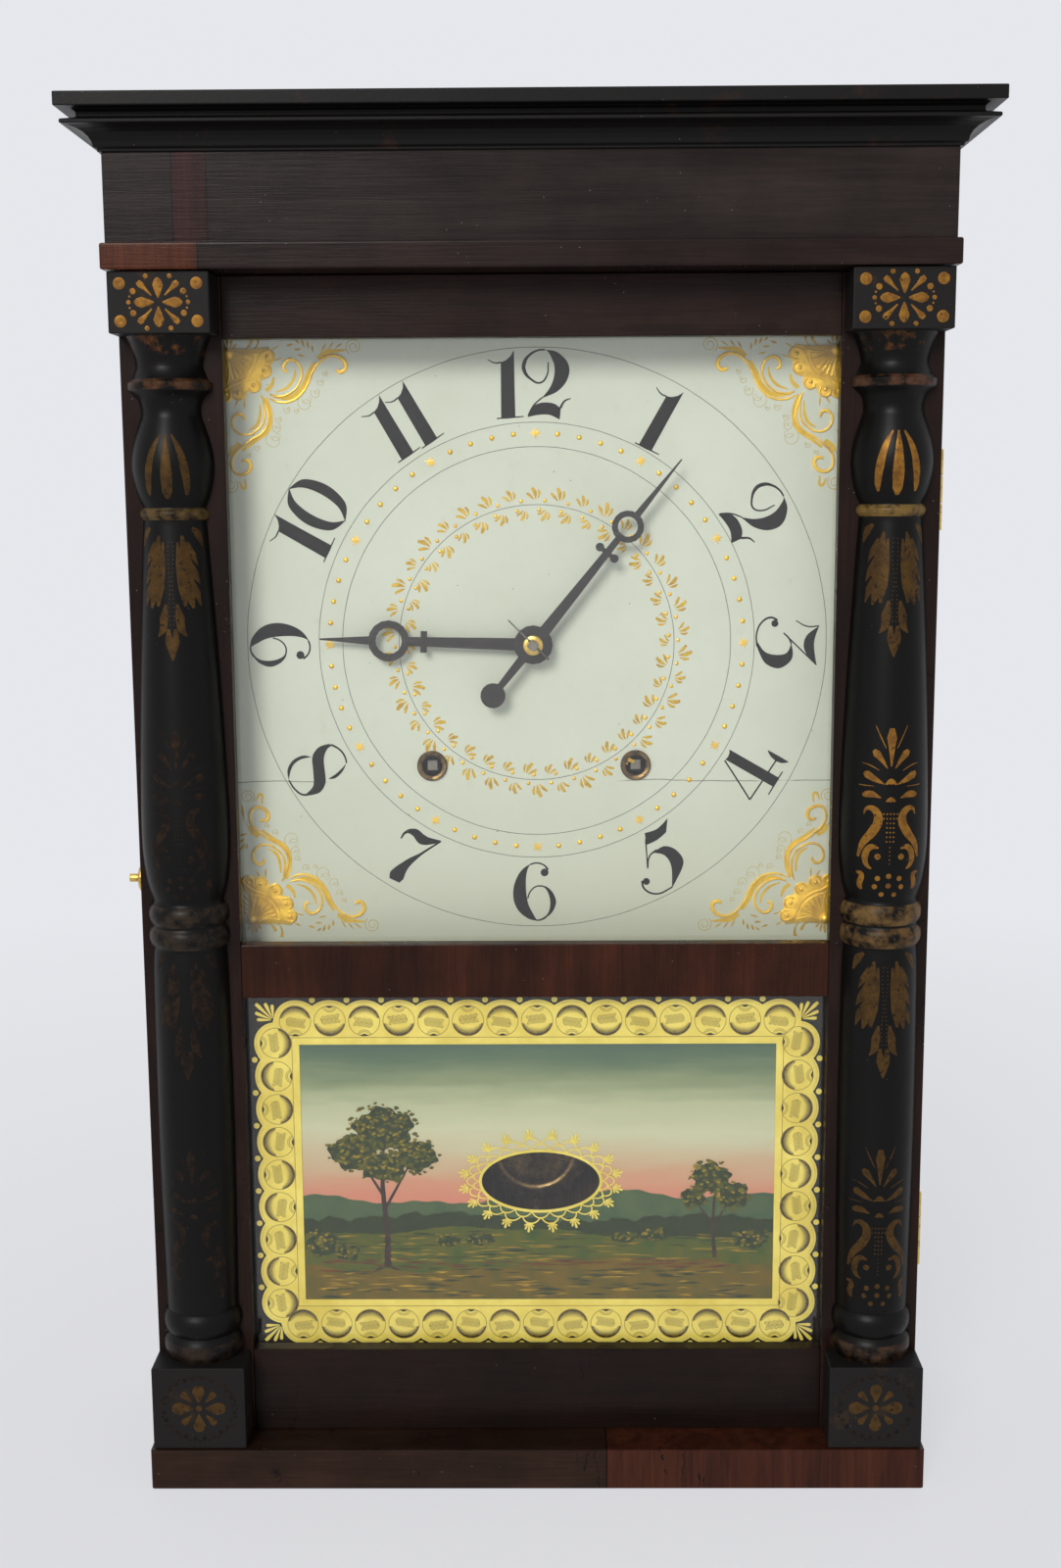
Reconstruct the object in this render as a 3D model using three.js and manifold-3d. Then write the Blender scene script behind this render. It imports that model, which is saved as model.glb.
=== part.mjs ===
// Stencilled half-column shelf clock, 30-hour, weight driven, about 26 inches high.
// Millimetres, +Z up, front towards -Y. The origin is the middle of the base on the shelf.
// Inside the file, y = 0 is the front face of the door; the whole clock is centred at the end.
import * as THREE from 'three';
import { mergeVertices } from 'three/addons/utils/BufferGeometryUtils.js';
import Module from 'manifold-3d';

const wasm = await Module();
wasm.setup();

// ---- driving sizes -------------------------------------------------------------------------
const running = 0.3; // gap round every pin, arbor and seated fitting
const doorGap = 0.5; // gap round the closed door

const caseWidth = 381; // 15 inches over the sides, the door and the blocks
const sideThickness = 14;
const insideDepth = 81.5; // from the front edge of the sides to the back board
const backThickness = 6;
const baseHeight = 20.5;
const baseReach = 1.6; // base board beyond the sides
const baseFront = 21.3; // base board in front of the door's face
const bandHeight = 11.5;
const bandReach = 2.3;
const friezeHeight = 39.1;
const friezeThickness = 12;
const friezeFront = 20.2;
const corniceHeight = 16.8;
const cornicePlate = 12; // how far the cornice moulding lies on top of the frieze boards
const corniceFillet = 1.4;
const ovoloFoot = 3; // all reaches are measured from the frieze
const tierReach = 14.6;
const neckReach = 8.6;
const capThickness = 6;
const capReach = 16.6;

const doorThickness = 18;
const stileWidth = 47.5;
const bottomRail = 42.7;
const tabletHeight = 182.8;
const midRail = 26.6;
const dialOpening = 287.6;
const topRail = 28.2;
const rebateWidth = 6;
const rebateDepth = 10;
const glassThickness = 2;

const blockWidth = 46;
const blockDepth = 20;
const baseBlockHeight = 42.4;
const capitalBlockHeight = 27.3;
const columnSetback = 2.4; // column axis behind the door's face
const columnRadius = 21.4; // at the thickest part of the shaft

const dialSize = 300;
const dialThickness = 6;
const dialFaceY = 27;
const dialLift = 0.1; // dial's centre above the middle of its opening
const windingSpacing = 100.2;
const windingDrop = 60;
const windingHoleRadius = 6.9;

const chuteThickness = 6;
const chuteGap = 5.1; // from a chute board to its weight
const chuteHeight = 470;

const plateThickness = 8;
const plateFrontY = 50; // front face of the movement's front plate
const plateSpace = 34; // between the two plates
const plateToChute = 8; // from the plates' edges to the chute boards
const plateBelow = 108; // below the dial's centre
const plateAbove = 118;
const pillarRadius = 5;
const tenonRadius = 3;
const pivotRadius = 2;
const arborRadius = 3;
const pipeRadius = 5;

const pendulumPivot = 108; // above the dial's centre
const vergePivot = 95;
const rodY = 37;
const rodRadius = 1;
const rodLength = 412;
const bobRadius = 27.5;
const bobDish = 21.5; // radius of the groove inside the bob's rim
const bobThickness = 8;
const rodBelowBob = 42.5; // from the bob's centre to the rod's end

const drumRadius = 16;
const cordRadius = 0.9;
const pulleyRadius = 8;
const pulleyInset = 33.5; // pulley's centre from the case side's inner face
const pulleyBelowOpening = 0.7; // pulley's centre below the top of the dial opening
const weightRadius = 19;
const weightHeight = 120;
const weightEye = 12; // wire eye above the weight
const weightBottomZ = 30;

const hingeHeight = 38;
const leafThickness = 1.5;
const knuckleRadius = 2.2;
const hingePinRadius = 1;
const hingeOffset = 2.5; // hinge axis beyond the case side
const hingeHeights = [120, 490];

const latchHeight = 305;
const latchRoseRadius = 7.7;
const latchPivotRadius = 1.6;
const roseDome = 2.6;
const latchPinReach = 7;
const latchPinRadius = 2;
const hookThickness = 1.6;
const hookY = 46;
const hookWidth = 6;

// ---- places worked out from them -----------------------------------------------------------
const halfCase = caseWidth / 2;
const sideFrontY = doorThickness + doorGap;
const backY = sideFrontY + insideDepth;
const rearY = backY + backThickness;
const doorBottom = baseHeight + doorGap;
const tabletBottom = doorBottom + bottomRail;
const tabletTop = tabletBottom + tabletHeight;
const dialBottom = tabletTop + midRail;
const dialTop = dialBottom + dialOpening;
const dialCentreZ = dialBottom + dialOpening / 2 + dialLift;
const pulleyCentreZ = dialTop - pulleyBelowOpening;
const doorTop = dialTop + topRail;
const caseTop = doorTop + doorGap;
const bandTop = caseTop + bandHeight;
const friezeTop = bandTop + friezeHeight;
const corniceTop = friezeTop + corniceHeight;
const capTop = corniceTop + capThickness;
const capFront = friezeFront + capReach;
const openingHalf = halfCase - stileWidth;
const columnX = halfCase - blockWidth / 2;
const columnFoot = doorBottom + baseBlockHeight;
const columnHead = doorTop - capitalBlockHeight;
const plateBackY = plateFrontY + plateThickness;
const rearPlateY = plateBackY + plateSpace;
const hingeX = halfCase + hingeOffset;
const hingeY = doorThickness + doorGap / 2;
const pulleyCentreX = halfCase - sideThickness - pulleyInset;
const lineRadius = pulleyRadius + cordRadius + 0.2; // cord's centre line round the pulley
const chuteOuter = pulleyCentreX + lineRadius - weightRadius - chuteGap;
const plateHalfWidth = chuteOuter - chuteThickness - plateToChute;
const bobDrop = rodLength - rodBelowBob;
const windingX = windingSpacing / 2;
const windingZ = dialCentreZ - windingDrop;

// ---- finishes ------------------------------------------------------------------------------
const finishes = {
  mahogany: { color: 0x3a1710, roughness: 0.42, metalness: 0 },
  ebonised: { color: 0x14100e, roughness: 0.5, metalness: 0 },
  pine: { color: 0x9a7448, roughness: 0.75, metalness: 0 },
  dialPaint: { color: 0xcdcfbe, roughness: 0.55, metalness: 0 },
  glass: { color: 0xdfe8e6, roughness: 0.05, metalness: 0 },
  maple: { color: 0xb98b57, roughness: 0.65, metalness: 0 },
  brass: { color: 0xb08d4a, roughness: 0.35, metalness: 1 },
  iron: { color: 0x3b3a38, roughness: 0.55, metalness: 1 },
  steel: { color: 0x23221f, roughness: 0.4, metalness: 1 },
  cord: { color: 0x7a6a4a, roughness: 0.9, metalness: 0 },
};
const materials = {};
for (const [name, look] of Object.entries(finishes)) {
  materials[name] = new THREE.MeshStandardMaterial(look);
}

const clock = new THREE.Group();

function place(name, finish, geometry) {
  const mesh = new THREE.Mesh(geometry, materials[finish]);
  mesh.name = name;
  clock.add(mesh);
}

// ---- solids: three.js geometry joined and cut ------------------------------------------------
function welded(geometry) {
  const bare = geometry.clone();
  bare.deleteAttribute('normal');
  bare.deleteAttribute('uv');
  const merged = mergeVertices(bare, 1e-4);
  const kept = [];
  const index = merged.getIndex().array;
  for (let i = 0; i < index.length; i += 3) {
    const [a, b, c] = [index[i], index[i + 1], index[i + 2]];
    if (a !== b && b !== c && c !== a) kept.push(a, b, c);
  }
  merged.setIndex(kept);
  return merged;
}

function solid(geometry) {
  const clean = welded(geometry);
  const vertProperties = Float32Array.from(clean.getAttribute('position').array);
  const triVerts = Uint32Array.from(clean.getIndex().array);
  return new wasm.Manifold(new wasm.Mesh({ numProp: 3, vertProperties, triVerts }));
}

function geometryOf(body) {
  const mesh = body.getMesh();
  const geometry = new THREE.BufferGeometry();
  const points = Float32Array.from(mesh.vertProperties);
  geometry.setAttribute('position', new THREE.BufferAttribute(points, 3));
  geometry.setIndex(Array.from(mesh.triVerts));
  geometry.computeVertexNormals();
  return geometry;
}

function joined(...parts) {
  return geometryOf(parts.map(solid).reduce((sum, part) => sum.add(part)));
}

function cut(base, ...holes) {
  return geometryOf(holes.map(solid).reduce((rest, hole) => rest.subtract(hole), solid(base)));
}

function block(x0, x1, y0, y1, z0, z1) {
  const geometry = new THREE.BoxGeometry(x1 - x0, y1 - y0, z1 - z0);
  return geometry.translate((x0 + x1) / 2, (y0 + y1) / 2, (z0 + z1) / 2);
}

// A shape drawn in x and z, made a slab from y0 to y1.
function slab(shape, y0, y1, curveSegments = 12) {
  const settings = { depth: y1 - y0, bevelEnabled: false, curveSegments };
  return new THREE.ExtrudeGeometry(shape, settings).rotateX(Math.PI / 2).translate(0, y1, 0);
}

// A profile of [radius, y] turned about an axis along y at (x, z).
function turnedAlongY(profile, x, z, segments = 20) {
  const points = profile.map(([radius, y]) => new THREE.Vector2(radius, y));
  return new THREE.LatheGeometry(points, segments).translate(x, 0, z);
}

// A profile of [radius, z] turned about an upright axis at (x, y).
function turnedUpright(profile, x, y, segments = 24) {
  const points = profile.map(([radius, z]) => new THREE.Vector2(radius, z));
  return new THREE.LatheGeometry(points, segments).rotateX(Math.PI / 2).translate(x, y, 0);
}

function pin(radius, x, z, y0, y1, segments = 16) {
  return turnedAlongY([[0, y0], [radius, y0], [radius, y1], [0, y1]], x, z, segments);
}

// A profile of [radius, x] turned about an axis along x at (y, z).
function turnedAlongX(profile, y, z, segments = 14) {
  const points = profile.map(([radius, x]) => new THREE.Vector2(radius, x));
  return new THREE.LatheGeometry(points, segments).rotateZ(-Math.PI / 2).translate(0, y, z);
}

function sidePin(radius, y, z, x0, x1) {
  return turnedAlongX([[0, x0], [radius, x0], [radius, x1], [0, x1]], y, z);
}

function circlePath(x, z, radius) {
  return new THREE.Path().absarc(x, z, radius, 0, Math.PI * 2, true);
}

// ---- case ----------------------------------------------------------------------------------
function makeCarcass() {
  const baseHalf = halfCase + baseReach;
  place('base_board', 'mahogany', block(-baseHalf, baseHalf, -baseFront, rearY, 0, baseHeight));
  const leftInner = sideThickness - halfCase;
  const leftSide = block(-halfCase, leftInner, sideFrontY, backY, baseHeight, caseTop);
  const bore = latchPivotRadius + running;
  const pivotBore = sidePin(bore, hookY, latchHeight, -halfCase - 1, leftInner + 1);
  place('case_side_left', 'mahogany', cut(leftSide, pivotBore));
  const rightSide = block(-leftInner, halfCase, sideFrontY, backY, baseHeight, caseTop);
  const recesses = hingeHeights.map((z) => leafRecess(z, sideFrontY, leafThickness + running));
  place('case_side_right', 'mahogany', cut(rightSide, ...recesses));
  placeBackBoard();
  const bandHalf = halfCase + bandReach;
  const bandFace = friezeFront + bandReach;
  place('band_board', 'mahogany', block(-bandHalf, bandHalf, -bandFace, backY, caseTop, bandTop));
}

// The back board runs up between the returns of the cornice and carries the pulley pins.
function placeBackBoard() {
  const wide = block(-halfCase, halfCase, backY, rearY, baseHeight, friezeTop);
  const between = halfCase - cornicePlate;
  const tongue = block(-between, between, backY, rearY, friezeTop - 1, corniceTop);
  const pulleyHoles = [-pulleyCentreX, pulleyCentreX].map((x) => (
    pin(arborRadius + running, x, pulleyCentreZ, backY - 1, rearY + 1)
  ));
  place('back_board', 'pine', cut(joined(wide, tongue), ...pulleyHoles));
}

// Recess for a hinge leaf, cut into a face that starts at y and runs back by depth.
function leafRecess(z, y, depth) {
  const inner = halfCase - sideThickness + 1;
  const reach = hingeHeight / 2 + running;
  return block(inner - running, halfCase + 1, y - 0.5, y + depth, z - reach, z + reach);
}

function makeFrieze() {
  const endFront = friezeThickness - friezeFront;
  const inner = halfCase - friezeThickness;
  const front = block(-halfCase, halfCase, -friezeFront, endFront, bandTop, friezeTop);
  place('frieze_front', 'mahogany', front);
  place('frieze_end_left', 'mahogany', block(-halfCase, -inner, endFront, backY, bandTop, friezeTop));
  place('frieze_end_right', 'mahogany', block(inner, halfCase, endFront, backY, bandTop, friezeTop));
}

// The cornice moulding's section: [reach beyond the frieze, height above it].
function corniceSection() {
  const filletTop = 1.2;
  const ovoloBottom = 1.8;
  const ovoloTop = 10;
  const tierTop = 11.6;
  const neckBottom = 13.2;
  const neckTop = 15.4;
  const section = [[-cornicePlate, 0], [corniceFillet, 0], [corniceFillet, filletTop]];
  const ovoloSteps = 6;
  for (let i = 0; i <= ovoloSteps; i += 1) {
    const turn = (Math.PI / 2) * (i / ovoloSteps);
    const reach = tierReach - (tierReach - ovoloFoot) * Math.cos(turn);
    section.push([reach, ovoloBottom + (ovoloTop - ovoloBottom) * Math.sin(turn)]);
  }
  section.push([tierReach, tierTop], [neckReach, neckBottom], [neckReach, neckTop]);
  section.push([neckReach + 1.8, corniceHeight], [-cornicePlate, corniceHeight]);
  return section;
}

// The section is carried round both front corners, so the mitres come out of one sweep.
function makeCornice() {
  const section = corniceSection();
  const stations = [
    (reach) => [-(halfCase + reach), rearY],
    (reach) => [-(halfCase + reach), -(friezeFront + reach)],
    (reach) => [halfCase + reach, -(friezeFront + reach)],
    (reach) => [halfCase + reach, rearY],
  ];
  const positions = [];
  for (const station of stations) {
    for (const [reach, up] of section) positions.push(...station(reach), friezeTop + up);
  }
  const count = section.length;
  const faces = [];
  for (let ring = 0; ring < stations.length - 1; ring += 1) {
    for (let i = 0; i < count; i += 1) {
      const a = ring * count + i;
      const b = ring * count + (i + 1) % count;
      faces.push(a, a + count, b, b, a + count, b + count);
    }
  }
  const outline = section.map(([reach, up]) => new THREE.Vector2(reach, up));
  const last = (stations.length - 1) * count;
  for (const [a, b, c] of THREE.ShapeUtils.triangulateShape(outline, [])) {
    faces.push(a, b, c);
    faces.push(last + a, last + c, last + b);
  }
  const geometry = new THREE.BufferGeometry();
  geometry.setAttribute('position', new THREE.Float32BufferAttribute(positions, 3));
  geometry.setIndex(faces);
  geometry.computeVertexNormals();
  place('cornice_moulding', 'ebonised', geometry);
  const capHalf = halfCase + capReach;
  place('cap_board', 'ebonised', block(-capHalf, capHalf, -capFront, rearY, corniceTop, capTop));
}

function makeChutes() {
  for (const [name, side] of [['chute_board_left', -1], ['chute_board_right', 1]]) {
    const x0 = side > 0 ? chuteOuter - chuteThickness : -chuteOuter;
    const front = dialFaceY + dialThickness;
    const top = baseHeight + chuteHeight;
    place(name, 'pine', block(x0, x0 + chuteThickness, front, backY, baseHeight, top));
  }
}

// ---- door ----------------------------------------------------------------------------------
function stile(side) {
  const outer = side * halfCase;
  const inner = side * openingHalf;
  const rebated = side * (openingHalf + rebateWidth);
  const lip = doorThickness - rebateDepth;
  const shape = new THREE.Shape();
  shape.moveTo(outer, 0);
  shape.lineTo(inner, 0);
  shape.lineTo(inner, lip);
  shape.lineTo(rebated, lip);
  shape.lineTo(rebated, doorThickness);
  shape.lineTo(outer, doorThickness);
  const settings = { depth: doorTop - doorBottom, bevelEnabled: false };
  return new THREE.ExtrudeGeometry(shape, settings).translate(0, 0, doorBottom);
}

// A rail's front lip lies between the stiles; its back half is wider and fills their rebates.
function rail(z0, z1, rebateBelow, rebateAbove) {
  const lip = doorThickness - rebateDepth;
  const wide = openingHalf + rebateWidth;
  const low = z0 + (rebateBelow ? rebateWidth : 0);
  const high = z1 - (rebateAbove ? rebateWidth : 0);
  const front = block(-openingHalf, openingHalf, 0, lip, z0, z1);
  return joined(front, block(-wide, wide, lip, doorThickness, low, high));
}

function pane(z0, z1) {
  const cover = rebateWidth - 1;
  const seat = doorThickness - rebateDepth;
  const half = openingHalf + cover;
  return block(-half, half, seat, seat + glassThickness, z0 - cover, z1 + cover);
}

function makeDoor() {
  place('door_stile_left', 'mahogany', stile(-1));
  const recessFace = doorThickness - leafThickness - running;
  const recesses = hingeHeights.map((z) => leafRecess(z, recessFace, leafThickness + 1));
  place('door_stile_right', 'mahogany', cut(stile(1), ...recesses));
  place('door_bottom_rail', 'mahogany', rail(doorBottom, tabletBottom, false, true));
  place('door_mid_rail', 'mahogany', rail(tabletTop, dialBottom, true, true));
  place('door_top_rail', 'mahogany', rail(dialTop, doorTop, true, false));
  place('tablet_glass', 'glass', pane(tabletBottom, tabletTop));
  place('dial_glass', 'glass', pane(dialBottom, dialTop));
  for (const [hand, side] of [['left', -1], ['right', 1]]) {
    const [x0, x1] = [side * columnX - blockWidth / 2, side * columnX + blockWidth / 2];
    place(`base_block_${hand}`, 'ebonised', block(x0, x1, -blockDepth, 0, doorBottom, columnFoot));
    place(`capital_block_${hand}`, 'ebonised', block(x0, x1, -blockDepth, 0, columnHead, doorTop));
    place(`half_column_${hand}`, 'ebonised', halfColumn(side * columnX));
  }
}

// A round moulding between two heights: it starts and ends at the root radius.
function bead(z0, z1, root, crown, steps = 4) {
  const points = [];
  for (let i = 0; i <= steps; i += 1) {
    const t = i / steps;
    points.push([root + (crown - root) * Math.sin(Math.PI * t) ** 0.6, z0 + (z1 - z0) * t]);
  }
  return points;
}

// A smooth stretch of shaft through a few [radius, height] points.
function swell(points, steps) {
  const curve = new THREE.SplineCurve(points.map(([radius, z]) => new THREE.Vector2(radius, z)));
  return curve.getPoints(steps).map((point) => [point.x, point.y]);
}

// Turned column from its foot up: two base tori, shaft, double ring, tapered shaft, thin ring,
// bulb, neck, collar and bell. The turning is drawn 498.2 high and 21.4 in radius, and then
// brought to the height between the blocks and to the column's own radius.
function columnProfile() {
  const drawnLength = 498.2;
  const drawnRadius = 21.4;
  const top = (below) => drawnLength - below;
  const turning = [
    [0, 0],
    ...bead(0, 11.6, 18.4, 20.1),
    ...bead(12.4, 25, 17.8, 19.8),
    ...swell([[18.1, 26], [18.3, 43], [19, 115], [18.7, 190], [18.1, 209]], 4),
    ...bead(210.5, 220.5, 18, 19.9),
    ...bead(221.5, 231.5, 18, 19.7),
    ...swell([[17.3, 233], [20.2, 246], [21.4, 270], [19.6, 330], [16.9, 385], [15.1, top(84)]], 7),
    ...bead(top(83), top(78.6), 15.2, 16.5, 3),
    ...swell([[15, top(77.6)], [17.6, top(71)], [19.5, top(60)], [18.4, top(49)], [14.4, top(36)]], 6),
    ...swell([[14.2, top(33)], [15.4, top(28.5)], [18.8, top(25)]], 2),
    [19.9, top(24)],
    [19.9, top(21)],
    [18, top(19.5)],
    ...swell([[15.9, top(14)], [16.1, top(11)], [17.8, top(5)], [19.8, top(0)]], 4),
    [0, drawnLength],
  ];
  const stretch = (columnHead - columnFoot) / drawnLength;
  const fullness = columnRadius / drawnRadius;
  return turning.map(([radius, z]) => [radius * fullness, z * stretch]);
}

// The turned blank is sawn flat along the door's face, a little in front of its axis.
function halfColumn(x) {
  const profile = columnProfile().map(([radius, z]) => [radius, z + columnFoot]);
  const blank = turnedUpright(profile, x, columnSetback, 22);
  const beyond = 2 * columnRadius;
  const waste = block(x - beyond, x + beyond, 0, beyond, columnFoot - 1, columnHead + 1);
  return cut(blank, waste);
}

// ---- hinges and latch ----------------------------------------------------------------------
function knuckle(radius, z0, z1) {
  return turnedUpright([[0, z0], [radius, z0], [radius, z1], [0, z1]], hingeX, hingeY, 12);
}

function makeHinge(name, z) {
  const half = hingeHeight / 2;
  const third = hingeHeight / 6;
  const split = third + running;
  const inner = halfCase - sideThickness + 1;
  const caseLeafBack = sideFrontY + leafThickness;
  const caseLeaf = block(inner, hingeX, sideFrontY, caseLeafBack, z - half, z + half);
  const middleGap = block(halfCase, hingeX + 5, 0, sideFrontY + 5, z - split, z + split);
  const lowKnuckle = knuckle(knuckleRadius, z - half, z - split);
  const highKnuckle = knuckle(knuckleRadius, z + split, z + half);
  const hingePin = knuckle(hingePinRadius, z - half, z + half);
  const fixedLeaf = joined(cut(caseLeaf, middleGap), lowKnuckle, highKnuckle, hingePin);
  place(`hinge_${name}_case_leaf`, 'brass', fixedLeaf);
  const doorLeafFront = doorThickness - leafThickness;
  const doorLeaf = block(inner, hingeX, doorLeafFront, doorThickness, z - third, z + third);
  const longLeaf = block(inner, halfCase - 1, doorLeafFront, doorThickness, z - half, z + half);
  const eye = knuckle(knuckleRadius, z - third, z + third);
  const bore = knuckle(hingePinRadius + running / 2, z - half, z + half);
  place(`hinge_${name}_door_leaf`, 'brass', cut(joined(doorLeaf, longLeaf, eye), bore));
}

// Domed brass rose with its pin on the door's left edge; the hook hangs beside it on the case.
function makeLatch() {
  const edge = -halfCase;
  const roseY = doorThickness / 2;
  const dome = [
    [0, edge - latchPinReach], [latchPinRadius, edge - latchPinReach], [latchPinRadius, edge - roseDome],
    [5.4, edge - roseDome + 0.5], [latchRoseRadius, edge - 0.8], [latchRoseRadius, edge], [0, edge],
  ];
  place('latch_rose', 'brass', turnedAlongX(dome, roseY, latchHeight));
  const reach = hookY - roseY;
  const inner = edge - roseDome - 0.8;
  const outer = inner - hookThickness;
  const half = hookWidth / 2;
  const tipZ = latchHeight - reach;
  const arm = block(outer, inner, hookY - half, hookY + half, tipZ, latchHeight);
  const hub = sidePin(4.4, hookY, latchHeight, outer, inner);
  const tip = sidePin(5, hookY, tipZ, outer, inner);
  const collar = sidePin(3.2, hookY, latchHeight, inner, edge - running);
  const pivot = sidePin(latchPivotRadius, hookY, latchHeight, edge - running, edge + 9);
  const notchHalf = latchPinRadius + running;
  const notch = block(outer - 1, inner + 1, hookY, hookY + 9, tipZ - notchHalf, tipZ + notchHalf);
  const seat = sidePin(notchHalf, hookY, tipZ, outer - 1, inner + 1);
  place('latch_hook', 'brass', cut(joined(arm, hub, tip, collar, pivot), notch, seat));
}

// ---- dial and hands ------------------------------------------------------------------------
function makeDial() {
  const half = dialSize / 2;
  const shape = new THREE.Shape();
  shape.moveTo(-half, dialCentreZ - half);
  shape.lineTo(half, dialCentreZ - half);
  shape.lineTo(half, dialCentreZ + half);
  shape.lineTo(-half, dialCentreZ + half);
  shape.holes.push(circlePath(0, dialCentreZ, pipeRadius + 1));
  shape.holes.push(circlePath(-windingX, windingZ, windingHoleRadius));
  shape.holes.push(circlePath(windingX, windingZ, windingHoleRadius));
  place('dial_board', 'dialPaint', slab(shape, dialFaceY, dialFaceY + dialThickness, 10));
}

// Hands are drawn pointing to twelve with the arbor at the origin, then turned to the time shown.
const handThickness = 1.2;
const minuteHandY = 16.4;
const hourHandY = 20;
const minuteAngle = 38.9; // degrees clockwise from twelve
const hourAngle = 271.8;
const arborSquare = 4.2;

function disc(x, z, radius, thickness = handThickness, segments = 16) {
  return pin(radius, x, z, 0, thickness, segments);
}

function taperedBlade(z0, z1, width0, width1) {
  const shape = new THREE.Shape();
  shape.moveTo(-width0 / 2, z0);
  shape.lineTo(width0 / 2, z0);
  shape.lineTo(width1 / 2, z1);
  shape.lineTo(-width1 / 2, z1);
  return slab(shape, 0, handThickness);
}

function bar(z, width, height) {
  return block(-width / 2, width / 2, 0, handThickness, z - height / 2, z + height / 2);
}

function settle(geometry, angle, y) {
  return geometry.rotateY(THREE.MathUtils.degToRad(angle)).translate(0, y, dialCentreZ);
}

function makeHands() {
  const hourEyeZ = 70;
  const hourEyeRadius = 10;
  const hourLength = 103.3;
  const hourBoss = 9.4;
  const hourBarZ = 53;
  const hourBarWidth = 10.4;
  const hourBlade = joined(
    disc(0, 0, hourBoss),
    taperedBlade(6, hourEyeZ - 6, 6, 4.2),
    bar(hourBarZ, hourBarWidth, 3.1),
    disc(0, hourEyeZ, hourEyeRadius),
    taperedBlade(hourEyeZ + 7, hourLength, 4.4, 0.7),
  );
  const hourHoles = [disc(0, 0, pipeRadius + running, 6), disc(0, hourEyeZ, hourEyeRadius - 3.6, 6)];
  const hour = cut(hourBlade, ...hourHoles.map((hole) => hole.translate(0, -2, 0)));
  place('hour_hand', 'steel', settle(hour, hourAngle, hourHandY));

  const minuteEyeZ = 72.5;
  const minuteLength = 113;
  const minuteBoss = 8.9;
  const minuteBarZ = 56.7;
  const knobX = 4.4;
  const knobRadius = 2.1;
  const tailZ = -31.2;
  const tailRadius = 6.1;
  const minuteEyeRadius = 7.7;
  const minuteBlade = joined(
    disc(0, 0, minuteBoss),
    taperedBlade(tailZ, -6, 3, 4.4),
    disc(0, tailZ, tailRadius),
    taperedBlade(6, minuteEyeZ - 5, 5.6, 3),
    bar(minuteBarZ, 7, 2.2),
    disc(-knobX, minuteBarZ, knobRadius, handThickness, 12),
    disc(knobX, minuteBarZ, knobRadius, handThickness, 12),
    disc(0, minuteEyeZ, minuteEyeRadius),
    taperedBlade(minuteEyeZ + 5.5, minuteLength, 3.4, 0.6),
  );
  const squareHalf = arborSquare / 2 + running;
  const squareHole = block(-squareHalf, squareHalf, -2, 4, -squareHalf, squareHalf);
  const eyeHole = disc(0, minuteEyeZ, minuteEyeRadius - 2.9, 6).translate(0, -2, 0);
  const minute = cut(minuteBlade, squareHole, eyeHole);
  place('minute_hand', 'steel', settle(minute, minuteAngle, minuteHandY));
}

// ---- gears ---------------------------------------------------------------------------------
// Wheels with pointed wooden teeth and pinions with blunt leaves; angles run from +x towards +z.
function toothedOutline(teeth, module, phase) {
  const pointed = teeth > 20;
  const pitch = (Math.PI * 2) / teeth;
  const radius = (teeth * module) / 2;
  const tip = radius + 0.8 * module;
  const root = radius - 1.15 * module;
  const flat = [[root, -0.27], [tip, -0.1], [tip, 0.1], [root, 0.27]];
  const corners = pointed ? [[root, -0.3], [tip, 0], [root, 0.3]] : flat;
  const points = [];
  for (let tooth = 0; tooth < teeth; tooth += 1) {
    for (const [length, share] of corners) {
      const angle = phase + (tooth + share) * pitch;
      points.push(new THREE.Vector2(length * Math.cos(angle), length * Math.sin(angle)));
    }
  }
  return points;
}

function gear(teeth, module, phase, [x, z], y0, y1, bore = 0) {
  const shape = new THREE.Shape(toothedOutline(teeth, module, phase));
  if (bore) shape.holes.push(circlePath(0, 0, bore));
  return slab(shape, y0, y1, 6).translate(x, 0, z);
}

function bearing([x0, z0], [x1, z1]) {
  return Math.atan2(z1 - z0, x1 - x0);
}

function distance([x0, z0], [x1, z1]) {
  return Math.hypot(x1 - x0, z1 - z0);
}

// Phase of the driven gear that puts a gap opposite the driver's tooth on the line of centres.
function meshedPhase(from, to, driverPhase, driverTeeth, drivenTeeth) {
  const along = bearing(from, to);
  return along + Math.PI - ((driverPhase - along) * driverTeeth) / drivenTeeth + Math.PI / drivenTeeth;
}

// An arbor between the plates with a pivot at each end.
function arbor([x, z], extraFront = 0) {
  const shoulder = 0.4;
  const y0 = plateBackY + shoulder;
  const y1 = rearPlateY - shoulder;
  const front = extraFront || plateFrontY + 1;
  const end = y1 + plateThickness - 1;
  const profile = [
    [0, front], [pivotRadius, front], [pivotRadius, y0], [arborRadius, y0], [arborRadius, y1],
    [pivotRadius, y1], [pivotRadius, end], [0, end],
  ];
  return turnedAlongY(profile, x, z, 8);
}

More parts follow.
